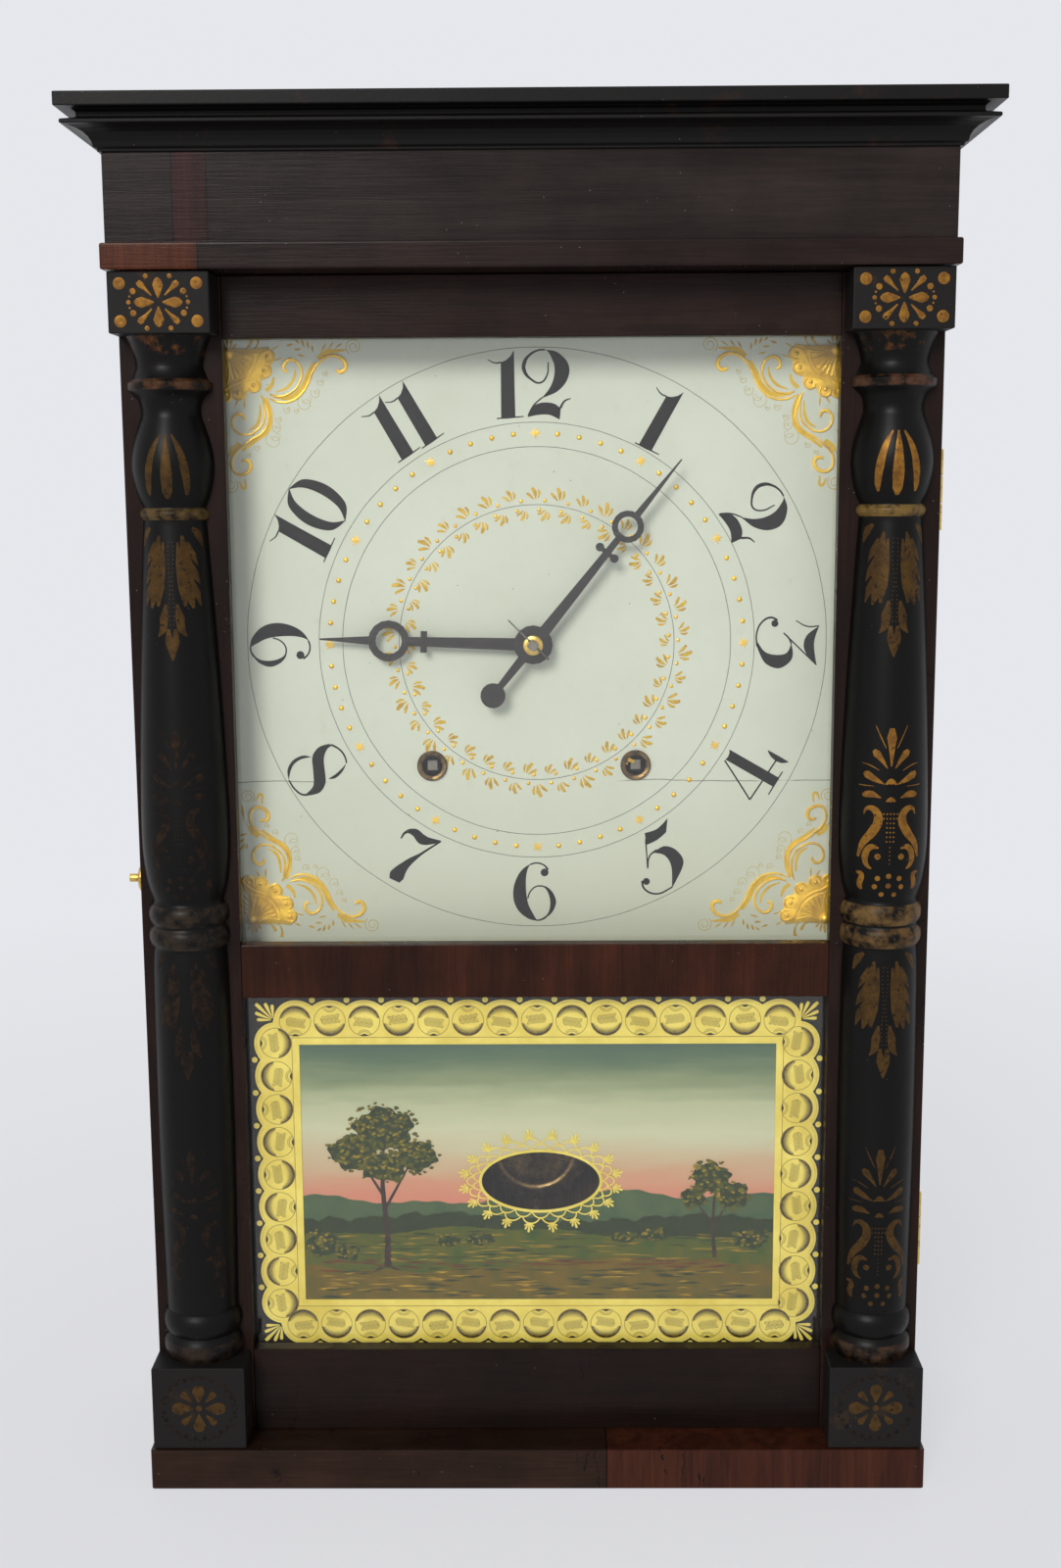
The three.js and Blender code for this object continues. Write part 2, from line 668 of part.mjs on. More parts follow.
// Places of the arbors, from the dial's centre out.
const centre = [0, dialCentreZ];
const timeWinding = [windingX, windingZ];
const strikeWinding = [-windingX, windingZ];
const greatTeeth = 40;
const leaves = 8;
const greatSpacing = 52.5;
const greatModule = (2 * greatSpacing) / (greatTeeth + leaves);
const second = [windingX, windingZ + greatSpacing];
const secondTeeth = 32;
const centreLeaves = 16;
const secondModule = (2 * distance(second, centre)) / (secondTeeth + centreLeaves);
const centreTeeth = 54;
const thirdLeaves = 6;
const centreModule = 1.3;
const thirdTeeth = 48;
const escapeLeaves = 6;
const thirdModule = 1.4;
const escapeRise = 60;
const escape = [0, dialCentreZ + escapeRise];
const centreToThird = ((centreTeeth + thirdLeaves) * centreModule) / 2;
const thirdToEscape = ((thirdTeeth + escapeLeaves) * thirdModule) / 2;
const thirdRise = (centreToThird ** 2 - thirdToEscape ** 2 + escapeRise ** 2) / (2 * escapeRise);
const third = [Math.sqrt(centreToThird ** 2 - thirdRise ** 2), dialCentreZ + thirdRise];
const pinArborOffset = plateHalfWidth - windingX - 35.9;
const pinArborRise = Math.sqrt(greatSpacing ** 2 - pinArborOffset ** 2);
const pinArbor = [-windingX - pinArborOffset, windingZ + pinArborRise];
const hammerSpacing = 51.57; // from the great wheel's arbor
const hammerBearing = bearing(strikeWinding, pinArbor) + THREE.MathUtils.degToRad(43.2);
const hammerArbor = [
  strikeWinding[0] + hammerSpacing * Math.cos(hammerBearing),
  strikeWinding[1] + hammerSpacing * Math.sin(hammerBearing),
];
const verge = [0, dialCentreZ + vergePivot];
const pendulumStud = [0, dialCentreZ + pendulumPivot];
const motionSpacing = 30;
const motionStud = [motionSpacing, dialCentreZ];

// Wheels lie in four layers between the plates.
const wheelThickness = 5;
const layerGap = 2;
const [pinLayer, centreLayer, secondLayer, greatLayer] = [0, 1, 2, 3].map((layer) => {
  const y = plateBackY + layerGap + layer * (wheelThickness + layerGap);
  return [y, y + wheelThickness];
});
const overlapY = 0.5; // pinions are this much longer than the wheel they turn

function longer([y0, y1]) {
  return [y0 - overlapY, y1 + overlapY];
}

const phases = { centre: 0.03 };
phases.second = meshedPhase(centre, second, phases.centre, centreLeaves, secondTeeth);
phases.great = meshedPhase(second, timeWinding, phases.second, leaves, greatTeeth);
phases.third = meshedPhase(centre, third, phases.centre, centreTeeth, thirdLeaves);
phases.escape = meshedPhase(third, escape, phases.third, thirdTeeth, escapeLeaves);
phases.strikeGreat = meshedPhase(pinArbor, strikeWinding, 0, leaves, greatTeeth);

// Great wheels turn on the winding arbors, each between its drum and a collar.
const windingArborRadius = 3.5;
const flange = 1.5;
const drumLength = 12;
// The drums start at different depths, so that each clears its neighbour's wheel.
const drumStart = { time: plateBackY + 3, strike: plateBackY + 9 };
const cordInset = 3.6; // cord from the back end of its drum

function makeWinding(side, name, centrePoint, phase) {
  const [x, z] = centrePoint;
  const bore = windingArborRadius + running;
  const greatWheel = gear(greatTeeth, greatModule, phase, centrePoint, ...greatLayer, bore);
  place(`${name}_great_wheel`, 'maple', greatWheel);
  const y0 = drumStart[name];
  const y1 = y0 + drumLength;
  const collar = greatLayer[1] + 1;
  const squareEnd = dialFaceY + 2;
  const shoulderFront = plateFrontY - 2;
  const profile = [
    [0, shoulderFront], [windingArborRadius, shoulderFront], [windingArborRadius, y0],
    [drumRadius + 3, y0], [drumRadius + 3, y0 + flange], [drumRadius, y0 + flange],
    [drumRadius, y1 - flange], [drumRadius + 3, y1 - flange], [drumRadius + 3, y1],
    [windingArborRadius, y1], [windingArborRadius, collar], [6, collar], [6, collar + 2],
    [windingArborRadius, collar + 2], [windingArborRadius, rearPlateY - 0.4],
    [pivotRadius, rearPlateY - 0.4], [pivotRadius, rearPlateY + plateThickness - 1],
    [0, rearPlateY + plateThickness - 1],
  ];
  const square = block(x - 2.4, x + 2.4, squareEnd, shoulderFront + 1, z - 2.4, z + 2.4);
  place(`${name}_drum`, 'maple', joined(turnedAlongY(profile, x, z, 16), square));
  makeWeightLine(side, name, centrePoint);
}

function makeWeightLine(side, name, [drumX, drumZ]) {
  const y = drumStart[name] + drumLength - cordInset;
  const px = side * pulleyCentreX;
  const weightX = side * (pulleyCentreX + lineRadius);
  makePulley(name, px, y);
  makeWeight(name, weightX, y);
  const foot = new THREE.Vector3(weightX, y, weightBottomZ + weightHeight + weightEye + running);
  const head = new THREE.Vector3(weightX, y, pulleyCentreZ);
  place(`${name}_cord`, 'cord', polyTube([foot, head]));
  const toDrum = Math.atan2(drumZ - pulleyCentreZ, drumX - px);
  const woundRadius = drumRadius + cordRadius + 0.2;
  const gap = Math.hypot(drumX - px, drumZ - pulleyCentreZ);
  const tilt = side * Math.acos((lineRadius + woundRadius) / gap);
  const leaveAngle = toDrum - tilt;
  const landX = drumX - woundRadius * Math.cos(leaveAngle);
  const landZ = drumZ - woundRadius * Math.sin(leaveAngle);
  const start = side > 0 ? 0 : Math.PI;
  const sweepTo = side > 0 ? leaveAngle + Math.PI * 2 : leaveAngle;
  const points = [];
  const arcSteps = 14;
  for (let i = 0; i <= arcSteps; i += 1) {
    const angle = start + (wrapped(sweepTo - start, side) * i) / arcSteps;
    const x = px + lineRadius * Math.cos(angle);
    points.push(new THREE.Vector3(x, y, pulleyCentreZ + lineRadius * Math.sin(angle)));
  }
  points[0].z += running;
  points.push(new THREE.Vector3(landX, y, landZ));
  place(`${name}_cord_run`, 'cord', polyTube(points));
}

// Brings a sweep into the half turn or more that goes over the top of the pulley.
function wrapped(sweep, side) {
  const turn = Math.PI * 2;
  const positive = ((sweep % turn) + turn) % turn;
  return side > 0 ? positive : positive - turn;
}

const cordSides = 8;

// A tube through points in one upright plane: its rings stand square to the half-angle.
function polyTube(points) {
  const positions = [];
  const faces = [];
  points.forEach((point, k) => {
    const before = points[Math.max(k - 1, 0)];
    const after = points[Math.min(k + 1, points.length - 1)];
    const along = new THREE.Vector3().subVectors(after, before).normalize();
    const across = new THREE.Vector3(0, 1, 0);
    const normal = new THREE.Vector3().crossVectors(across, along);
    for (let i = 0; i < cordSides; i += 1) {
      const angle = (i * Math.PI * 2) / cordSides;
      const offset = normal.clone().multiplyScalar(cordRadius * Math.cos(angle));
      offset.addScaledVector(across, cordRadius * Math.sin(angle));
      positions.push(point.x + offset.x, point.y + offset.y, point.z + offset.z);
    }
  });
  const last = (points.length - 1) * cordSides;
  for (let k = 0; k < points.length - 1; k += 1) {
    for (let i = 0; i < cordSides; i += 1) {
      const a = k * cordSides + i;
      const b = k * cordSides + ((i + 1) % cordSides);
      faces.push(a, b, a + cordSides, b, b + cordSides, a + cordSides);
    }
  }
  for (let i = 1; i < cordSides - 1; i += 1) {
    faces.push(0, i + 1, i);
    faces.push(last, last + i, last + i + 1);
  }
  const geometry = new THREE.BufferGeometry();
  geometry.setAttribute('position', new THREE.Float32BufferAttribute(positions, 3));
  geometry.setIndex(faces);
  geometry.computeVertexNormals();
  return geometry;
}

function makePulley(name, x, y) {
  const half = 4;
  const rim = pulleyRadius + 3;
  const profile = [
    [0, y - half], [rim, y - half], [rim, y - 2.2], [pulleyRadius, y - 1.1],
    [pulleyRadius, y + 1.1], [rim, y + 2.2], [rim, y + half], [arborRadius, y + half],
    [arborRadius, rearY - 0.5], [0, rearY - 0.5],
  ];
  place(`${name}_pulley`, 'maple', turnedAlongY(profile, x, pulleyCentreZ, 14));
}

function makeWeight(name, x, y) {
  const z = weightBottomZ;
  const top = z + weightHeight;
  const profile = [
    [0, z], [weightRadius - 2, z], [weightRadius, z + 2], [weightRadius, top - 3],
    [weightRadius - 4, top], [2, top], [2, top + weightEye - 4], [3, top + weightEye - 2.5],
    [3, top + weightEye - 1], [0, top + weightEye],
  ];
  place(`${name}_weight`, 'iron', turnedUpright(profile, x, y, 18));
}

// ---- movement ------------------------------------------------------------------------------
const lowPillarX = plateHalfWidth - 29;
const highPillarX = plateHalfWidth - 18;
const lowPillarZ = dialCentreZ - plateBelow + 8;
const highPillarZ = dialCentreZ + plateAbove - 18;
const pillars = [
  [-lowPillarX, lowPillarZ], [lowPillarX, lowPillarZ],
  [-highPillarX, highPillarZ], [highPillarX, highPillarZ],
];
// Openings in the plates: [x, height above the centre, half width, half height].
const windows = [[-40, 58, 20, 26], [52, 66, 22, 22], [0, -66, 20, 26]];

function plateShape() {
  const shape = new THREE.Shape();
  const [z0, z1] = [dialCentreZ - plateBelow, dialCentreZ + plateAbove];
  shape.moveTo(-plateHalfWidth, z0);
  shape.lineTo(plateHalfWidth, z0);
  shape.lineTo(plateHalfWidth, z1);
  shape.lineTo(-plateHalfWidth, z1);
  for (const [x, up, halfWidth, halfHeight] of windows) {
    const z = dialCentreZ + up;
    const opening = new THREE.Path();
    opening.moveTo(x - halfWidth, z - halfHeight);
    opening.lineTo(x - halfWidth, z + halfHeight);
    opening.lineTo(x + halfWidth, z + halfHeight);
    opening.lineTo(x + halfWidth, z - halfHeight);
    shape.holes.push(opening);
  }
  return shape;
}

function drill(shape, places, radius) {
  for (const [x, z] of places) shape.holes.push(circlePath(x, z, radius + running));
}

function makePlates() {
  const pivots = [second, third, escape, pinArbor, hammerArbor, verge];
  const windings = [timeWinding, strikeWinding];
  const frontShape = plateShape();
  drill(frontShape, pivots, pivotRadius);
  drill(frontShape, [centre], arborRadius);
  drill(frontShape, windings, windingArborRadius);
  drill(frontShape, pillars, tenonRadius);
  const plate = slab(frontShape, plateFrontY, plateBackY, 5);
  const motionPost = pin(arborRadius, ...motionStud, hourWheelY[0] - 0.2, plateFrontY + 1, 12);
  const [studX, studZ] = pendulumStud;
  const studFront = rodY - rodRadius - 2.4;
  const studProfile = [[0, studFront], [3.6, studFront], [3.6, studFront + 1.2], [2, studFront + 1.2]];
  studProfile.push([2, plateFrontY + 1], [0, plateFrontY + 1]);
  const stud = turnedAlongY(studProfile, studX, studZ, 16);
  place('front_plate', 'maple', joined(plate, motionPost, stud));

  const rearShape = plateShape();
  drill(rearShape, [...pivots, centre, ...windings], pivotRadius);
  const rear = slab(rearShape, rearPlateY, rearPlateY + plateThickness, 5);
  const tenonEnd = plateFrontY - 1;
  const posts = pillars.map(([x, z]) => turnedAlongY([
    [0, tenonEnd], [tenonRadius, tenonEnd], [tenonRadius, plateBackY], [pillarRadius, plateBackY],
    [pillarRadius, rearPlateY + 1], [0, rearPlateY + 1],
  ], x, z, 10));
  place('back_plate', 'maple', joined(rear, ...posts));
}

function makeTimeTrain() {
  const [x, z] = centre;
  const squareHalf = arborSquare / 2;
  const frontEnd = doorThickness - rebateDepth + glassThickness + 2;
  const squareStart = minuteHandY + 2;
  const shoulder = rearPlateY - 0.4;
  const rearEnd = rearPlateY + plateThickness - 1;
  const centreBody = turnedAlongY([
    [0, squareStart], [arborRadius, squareStart], [arborRadius, shoulder], [pivotRadius, shoulder],
    [pivotRadius, rearEnd], [0, rearEnd],
  ], x, z, 16);
  const square = block(-squareHalf, squareHalf, frontEnd, squareStart + 1, -squareHalf, squareHalf);
  place('centre_wheel', 'maple', joined(
    centreBody,
    square.rotateY(THREE.MathUtils.degToRad(minuteAngle)).translate(x, 0, z),
    gear(cannonTeeth, cannonModule, cannonPhase, centre, ...longer(minuteWheelY)),
    gear(centreTeeth, centreModule, phases.centre, centre, ...centreLayer),
    gear(centreLeaves, secondModule, phases.centre, centre, ...longer(secondLayer)),
  ));
  place('second_wheel', 'maple', joined(
    arbor(second),
    gear(secondTeeth, secondModule, phases.second, second, ...secondLayer),
    gear(leaves, greatModule, phases.second, second, ...longer(greatLayer)),
  ));
  place('third_wheel', 'maple', joined(
    arbor(third),
    gear(thirdTeeth, thirdModule, phases.third, third, ...pinLayer),
    gear(thirdLeaves, centreModule, phases.third, third, ...longer(centreLayer)),
  ));
  place('escape_wheel', 'maple', joined(
    arbor(escape),
    gear(escapeLeaves, thirdModule, phases.escape, escape, ...longer(pinLayer)),
    escapeTeethSlab(),
  ));
}

// Forty-two raked teeth, for a beat of about 0.6 s.
const escapeTeeth = 42;
const escapeRadius = 26;
const escapeRoot = escapeRadius - 3;

function escapeTeethSlab() {
  const points = [];
  const pitch = (Math.PI * 2) / escapeTeeth;
  for (let tooth = 0; tooth < escapeTeeth; tooth += 1) {
    const tip = tooth * pitch;
    const root = tip + pitch * 0.3;
    points.push(new THREE.Vector2(escapeRadius * Math.cos(tip), escapeRadius * Math.sin(tip)));
    points.push(new THREE.Vector2(escapeRoot * Math.cos(root), escapeRoot * Math.sin(root)));
  }
  const [x, z] = escape;
  return slab(new THREE.Shape(points), greatLayer[0] + 1, greatLayer[1] - 1).translate(x, 0, z);
}

// Verge: a curved strip over the escape wheel, its arbor and the crutch that the pendulum rod meets.
const palletLift = 2.9; // how far the pallets stand off the escape wheel's tips
const palletSpan = Math.PI / 4;
const crutchLength = 35;

function makeVerge() {
  const inner = escapeRadius + palletLift;
  const outer = inner + 3;
  const shape = new THREE.Shape();
  const [x, z] = escape;
  shape.absarc(x, z, outer, Math.PI / 2 - palletSpan, Math.PI / 2 + palletSpan, false);
  shape.absarc(x, z, inner, Math.PI / 2 + palletSpan, Math.PI / 2 - palletSpan, true);
  const strip = slab(shape, greatLayer[0], greatLayer[1], 6);
  const carrier = block(-3.5, 3.5, greatLayer[0], greatLayer[1], z + inner + 1, verge[1] + 2);
  const crutchY = rodY + 4.5;
  const wire = block(-0.8, 0.8, crutchY, crutchY + 1.6, verge[1] - crutchLength, verge[1]);
  const forkReach = rodRadius + 0.5;
  const forkZ = verge[1] - crutchLength;
  const bridge = block(-forkReach - 1.6, forkReach + 1.6, crutchY, crutchY + 1.6, forkZ - 1.6, forkZ);
  const prongs = [-1, 1].map((side) => {
    const [a, b] = [side * forkReach, side * (forkReach + 1.6)];
    return block(Math.min(a, b), Math.max(a, b), rodY - 2, crutchY + 1.6, forkZ - 1.6, forkZ);
  });
  place('verge', 'steel', joined(arbor(verge, crutchY), strip, carrier, wire, bridge, ...prongs));
}

// Motion work: cannon pinion, minute wheel with its pinion, hour wheel with its pipe.
const cannonTeeth = 12;
const minuteTeeth = 36;
const minuteLeaves = 10;
const hourTeeth = 40;
const cannonModule = (2 * motionSpacing) / (cannonTeeth + minuteTeeth);
const hourModule = (2 * motionSpacing) / (minuteLeaves + hourTeeth);
const minuteWheelY = [plateFrontY - 6, plateFrontY - 2];
const hourWheelY = [plateFrontY - 10.4, plateFrontY - 7];
const cannonPhase = 0;
const minutePhase = meshedPhase(centre, motionStud, cannonPhase, cannonTeeth, minuteTeeth);
const hourPhase = meshedPhase(motionStud, centre, minutePhase, minuteLeaves, hourTeeth);

function makeMotionWork() {
  const bore = arborRadius + running;
  const ends = [glassThickness, plateBackY];
  place('minute_wheel', 'maple', cut(joined(
    gear(minuteTeeth, cannonModule, minutePhase, motionStud, ...minuteWheelY),
    gear(minuteLeaves, hourModule, minutePhase, motionStud, hourWheelY[0], minuteWheelY[0] + 0.5),
  ), pin(bore, ...motionStud, ...ends)));
  const pipe = pin(pipeRadius, ...centre, hourHandY - 1, hourWheelY[1], 20);
  const wheel = gear(hourTeeth, hourModule, hourPhase, centre, ...hourWheelY);
  place('hour_wheel', 'maple', cut(joined(pipe, wheel), pin(bore, ...centre, ...ends)));
}

const strikePins = 12;
const strikePinCircle = 26;
const liftingPinRadius = 1.5;
const bellRadius = 32;
const bellDepth = 22;
const bellWall = 2.2;
const bellPostRadius = 5;
const hammerHead = 6;
const bellCentre = [hammerArbor[0] + bellRadius + hammerHead, dialCentreZ - 155];
const hammerPlane = [pinLayer[1] + 1, pinLayer[1] + 5];

function makeStrike() {
  const [x, z] = pinArbor;
  const lifting = [];
  for (let i = 0; i < strikePins; i += 1) {
    const angle = ((i + 0.5) * Math.PI * 2) / strikePins + bearing(pinArbor, hammerArbor);
    const pinX = x + strikePinCircle * Math.cos(angle);
    const pinZ = z + strikePinCircle * Math.sin(angle);
    lifting.push(pin(liftingPinRadius, pinX, pinZ, pinLayer[1] - 1, hammerPlane[1] + 1, 6));
  }
  place('pin_wheel', 'maple', joined(
    arbor(pinArbor),
    gear(thirdTeeth, thirdModule, 0, pinArbor, ...pinLayer),
    gear(leaves, greatModule, 0, pinArbor, ...longer(greatLayer)),
    ...lifting,
  ));
  makeHammer();
  makeBell();
}

function makeHammer() {
  const [hx, hz] = hammerArbor;
  const [y0, y1] = hammerPlane;
  const headZ = bellCentre[1];
  const headX = bellCentre[0] - bellRadius - hammerHead - 0.5;
  const hub = pin(5, hx, hz, y0, y1);
  const rod = block(hx - 1.5, hx + 1.5, y0, y1, headZ, hz);
  const head = pin(hammerHead, headX, headZ, y0, y1);
  const reach = distance(hammerArbor, pinArbor) - strikePinCircle - liftingPinRadius - 0.5;
  const tail = block(0, reach, y0, y1, -1.5, 1.5);
  tail.rotateY(-bearing(hammerArbor, pinArbor)).translate(hx, 0, hz);
  place('hammer', 'iron', joined(arbor(hammerArbor), hub, rod, head, tail));
}

// Cast bell, mouth to the front, on a post from the back board.
function makeBell() {
  const rim = hammerPlane[0];
  const profile = [];
  const steps = 5;
  for (let i = 0; i <= steps; i += 1) {
    const turn = (Math.PI / 2) * (i / steps);
    const depth = (bellDepth - bellWall) * Math.sin(turn);
    profile.push([(bellRadius - bellWall) * Math.cos(turn), rim + depth]);
  }
  profile.reverse();
  for (let i = 0; i <= steps - 1; i += 1) {
    const turn = (Math.PI / 2) * (i / steps);
    profile.push([bellRadius * Math.cos(turn), rim + bellDepth * Math.sin(turn)]);
  }
  const foot = bellPostRadius + 3;
  profile.push([bellPostRadius, rim + bellDepth], [bellPostRadius, backY - 2]);
  profile.push([foot, backY - 2], [foot, backY], [0, backY]);
  profile[0][0] = 0;
  place('bell', 'iron', turnedAlongY(profile, ...bellCentre, 20));
}

// ---- pendulum ------------------------------------------------------------------------------
const rodLoopRadius = 13; // the rod opens into a ring round the hand arbors

function makePendulum() {
  const [x, topZ] = pendulumStud;
  const ringAt = dialCentreZ;
  const eye = ring(x, topZ, 2 + running, 2 + running + 1.8);
  const loop = ring(x, ringAt, rodLoopRadius, rodLoopRadius + 2);
  const [rodFront, rodBack] = [rodY - rodRadius, rodY + rodRadius];
  const wire = (z0, z1) => block(x - rodRadius, x + rodRadius, rodFront, rodBack, z0, z1);
  const upper = wire(ringAt + rodLoopRadius + 1, topZ - 3);
  const lower = wire(topZ - rodLength, ringAt - rodLoopRadius - 1);
  place('pendulum_rod', 'steel', joined(eye, loop, upper, lower));
  const bobZ = topZ - bobDrop;
  const half = bobThickness / 2;
  const profile = [
    [0, rodY - half], [13, rodY - half + 0.5], [bobDish, rodY - half + 1.6],
    [bobDish + 2.7, rodY - half + 1.2], [bobRadius - 1.5, rodY - half + 1],
    [bobRadius, rodY - 1], [bobRadius, rodY + 1],
    [bobRadius - 1.5, rodY + half - 1], [0, rodY + half],
  ];
  const bore = rodRadius + running;
  const channel = block(x - bore, x + bore, rodY - bore, rodY + bore, bobZ - 40, bobZ + 40);
  place('pendulum_bob', 'brass', cut(turnedAlongY(profile, x, bobZ, 28), channel));
}

function ring(x, z, inner, outer) {
  const shape = new THREE.Shape().absarc(x, z, outer, 0, Math.PI * 2, false);
  shape.holes.push(circlePath(x, z, inner));
  return slab(shape, rodY - rodRadius, rodY + rodRadius, 8);
}

// ---- build ---------------------------------------------------------------------------------
makeCarcass();
makeFrieze();
makeCornice();
makeChutes();
makeDoor();
makeHinge('lower', hingeHeights[0]);
makeHinge('upper', hingeHeights[1]);
makeLatch();
makeDial();
makeHands();
makePlates();
makeTimeTrain();
makeVerge();
makeMotionWork();
makeWinding(1, 'time', timeWinding, phases.great);
makeWinding(-1, 'strike', strikeWinding, phases.strikeGreat);
makeStrike();
makePendulum();

clock.position.y = (capFront - rearY) / 2;

export default clock;
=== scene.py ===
import math
import random
import bmesh
import bpy
from mathutils import Matrix, Vector


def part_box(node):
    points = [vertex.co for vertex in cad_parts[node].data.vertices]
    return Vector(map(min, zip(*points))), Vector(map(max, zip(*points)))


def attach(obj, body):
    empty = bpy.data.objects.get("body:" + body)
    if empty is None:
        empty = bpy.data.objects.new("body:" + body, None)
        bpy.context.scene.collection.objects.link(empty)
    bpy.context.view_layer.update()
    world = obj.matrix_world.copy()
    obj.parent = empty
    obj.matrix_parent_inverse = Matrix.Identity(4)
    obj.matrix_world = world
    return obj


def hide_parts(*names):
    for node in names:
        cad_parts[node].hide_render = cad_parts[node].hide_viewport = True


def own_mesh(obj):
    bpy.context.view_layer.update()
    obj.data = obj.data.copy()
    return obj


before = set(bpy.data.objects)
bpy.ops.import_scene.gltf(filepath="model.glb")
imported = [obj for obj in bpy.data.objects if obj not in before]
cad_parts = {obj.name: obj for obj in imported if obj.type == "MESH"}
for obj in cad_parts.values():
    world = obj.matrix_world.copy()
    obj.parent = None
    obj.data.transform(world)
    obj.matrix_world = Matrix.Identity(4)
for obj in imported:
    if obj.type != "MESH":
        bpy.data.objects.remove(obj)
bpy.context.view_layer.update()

mm = 0.001
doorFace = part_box("door_mid_rail")[0][1]  # front face of the door
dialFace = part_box("dial_board")[0][1]  # painted face of the dial
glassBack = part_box("tablet_glass")[1][1]  # the painting lies on the back of this glass
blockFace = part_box("capital_block_left")[0][1]
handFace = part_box("minute_hand")[0][1]
dialUp = 417.0  # height of the hand arbor, mm
pillarAcross = 167.5  # from the clock's middle line to the middle of a column and its blocks, mm

# camera
scene = bpy.context.scene
scene.view_settings.view_transform = "Standard"
cameraPlan = dict(place=(0.00615, -0.8973, 0.4906), pitch=9.127, yaw=-0.508, roll=-0.318, lens=41.9)


def aimCamera(plan):
    pitch, yaw, roll = (math.radians(plan[key]) for key in ("pitch", "yaw", "roll"))
    forward = Vector((math.sin(yaw) * math.cos(pitch), math.cos(yaw) * math.cos(pitch), -math.sin(pitch)))
    right = Vector((math.cos(yaw), -math.sin(yaw), 0))
    up = right.cross(forward)
    across = right * math.cos(roll) + up * math.sin(roll)
    upright = up * math.cos(roll) - right * math.sin(roll)
    camera = bpy.data.objects.new("camera", bpy.data.cameras.new("camera"))
    camera.data.lens = plan["lens"]
    camera.data.sensor_width = 36
    camera.data.clip_start = 0.01
    turn = Matrix((across, upright, -forward)).transposed().to_4x4()
    camera.matrix_world = Matrix.Translation(plan["place"]) @ turn
    scene.collection.objects.link(camera)
    scene.camera = camera


aimCamera(cameraPlan)
print("camera placed")


# node helpers
def shade(red, green, blue):  # a screen colour, 0 to 255, as the renderer's own numbers
    linear = [(c / 255 / 12.92) if c <= 10 else ((c / 255 + 0.055) / 1.055) ** 2.4 for c in (red, green, blue)]
    return tuple(linear) + (1.0,)


def addNode(tree, kind, inputs=None, **settings):
    made = tree.nodes.new("ShaderNode" + kind)
    for key, value in settings.items():
        setattr(made, key, value)
    for key, value in (inputs or {}).items():
        if isinstance(value, bpy.types.NodeSocket):
            tree.links.new(value, made.inputs[key])
        else:
            made.inputs[key].default_value = value
    return made


def newGroup(name, inputs, outputs):
    tree = bpy.data.node_groups.new(name, "ShaderNodeTree")
    for label, kind, value in inputs:
        socket = tree.interface.new_socket(label, in_out="INPUT", socket_type="NodeSocket" + kind)
        if value is not None:
            socket.default_value = value
    for label, kind in outputs:
        tree.interface.new_socket(label, in_out="OUTPUT", socket_type="NodeSocket" + kind)
    return tree, tree.nodes.new("NodeGroupInput").outputs, tree.nodes.new("NodeGroupOutput").inputs


def placeGroup(tree, group, inputs):
    made = tree.nodes.new("ShaderNodeGroup")
    made.node_tree = group
    for key, value in inputs.items():
        if isinstance(value, bpy.types.NodeSocket):
            tree.links.new(value, made.inputs[key])
        else:
            made.inputs[key].default_value = value
    return made.outputs


def blendColors(tree, share, first, second, mode="MIX"):
    made = addNode(tree, "Mix", data_type="RGBA", blend_type=mode)
    for index, value in ((0, share), (6, first), (7, second)):
        if isinstance(value, bpy.types.NodeSocket):
            tree.links.new(value, made.inputs[index])
        else:
            made.inputs[index].default_value = value
    return made.outputs[2]


def sumNode(tree, operation, first, second=0.0, third=None):
    values = {0: first, 1: second}
    if third is not None:
        values[2] = third
    return addNode(tree, "Math", values, operation=operation).outputs[0]


def stepNode(tree, value, low, high, outLow=0.0, outHigh=1.0):
    return addNode(tree, "MapRange", {0: value, 1: low, 2: high, 3: outLow, 4: outHigh}, clamp=True).outputs[0]


# shared effects
def buildGrain():  # wood figure along Z of the vector that is given
    tree, given, out = newGroup(
        "woodGrain",
        [("Place", "Vector", None), ("Pale", "Color", shade(90, 50, 30)), ("Deep", "Color", shade(50, 25, 15)),
            ("Fineness", "Float", 60.0)],
        [("Color", "Color"), ("Height", "Float")],
    )
    long = addNode(tree, "Mapping", {"Vector": given["Place"], "Scale": (1, 1, 0.09)})
    broad = addNode(tree, "TexNoise",
        {"Vector": long.outputs[0], "Scale": given["Fineness"], "Detail": 7, "Roughness": 0.62, "Distortion": 0.9})
    thin = addNode(tree, "Mapping", {"Vector": given["Place"], "Scale": (1, 1, 0.03)})
    pores = addNode(tree, "TexNoise", {"Vector": thin.outputs[0], "Scale": 900.0, "Detail": 3, "Roughness": 0.7})
    figure = stepNode(tree, broad.outputs[0], 0.32, 0.68)
    base = blendColors(tree, figure, given["Deep"], given["Pale"])
    lines = stepNode(tree, pores.outputs[0], 0.35, 0.6, 0.72, 1.0)
    tree.links.new(blendColors(tree, 1.0, base, lines, "MULTIPLY"), out["Color"])
    tree.links.new(sumNode(tree, "MULTIPLY_ADD", figure, 0.3, lines), out["Height"])
    return tree


def buildPatches():  # cloudy mask, for wear, grime and loss
    tree, given, out = newGroup(
        "wornPatches",
        [("Place", "Vector", None), ("Scale", "Float", 60.0), ("Amount", "Float", 0.5), ("Softness", "Float", 0.05)],
        [("Mask", "Float")],
    )
    cloud = addNode(tree, "TexNoise",
        {"Vector": given["Place"], "Scale": given["Scale"], "Detail": 9, "Roughness": 0.66})
    low = sumNode(tree, "SUBTRACT", given["Amount"], given["Softness"])
    high = sumNode(tree, "ADD", given["Amount"], given["Softness"])
    tree.links.new(stepNode(tree, cloud.outputs[0], low, high), out["Mask"])
    return tree


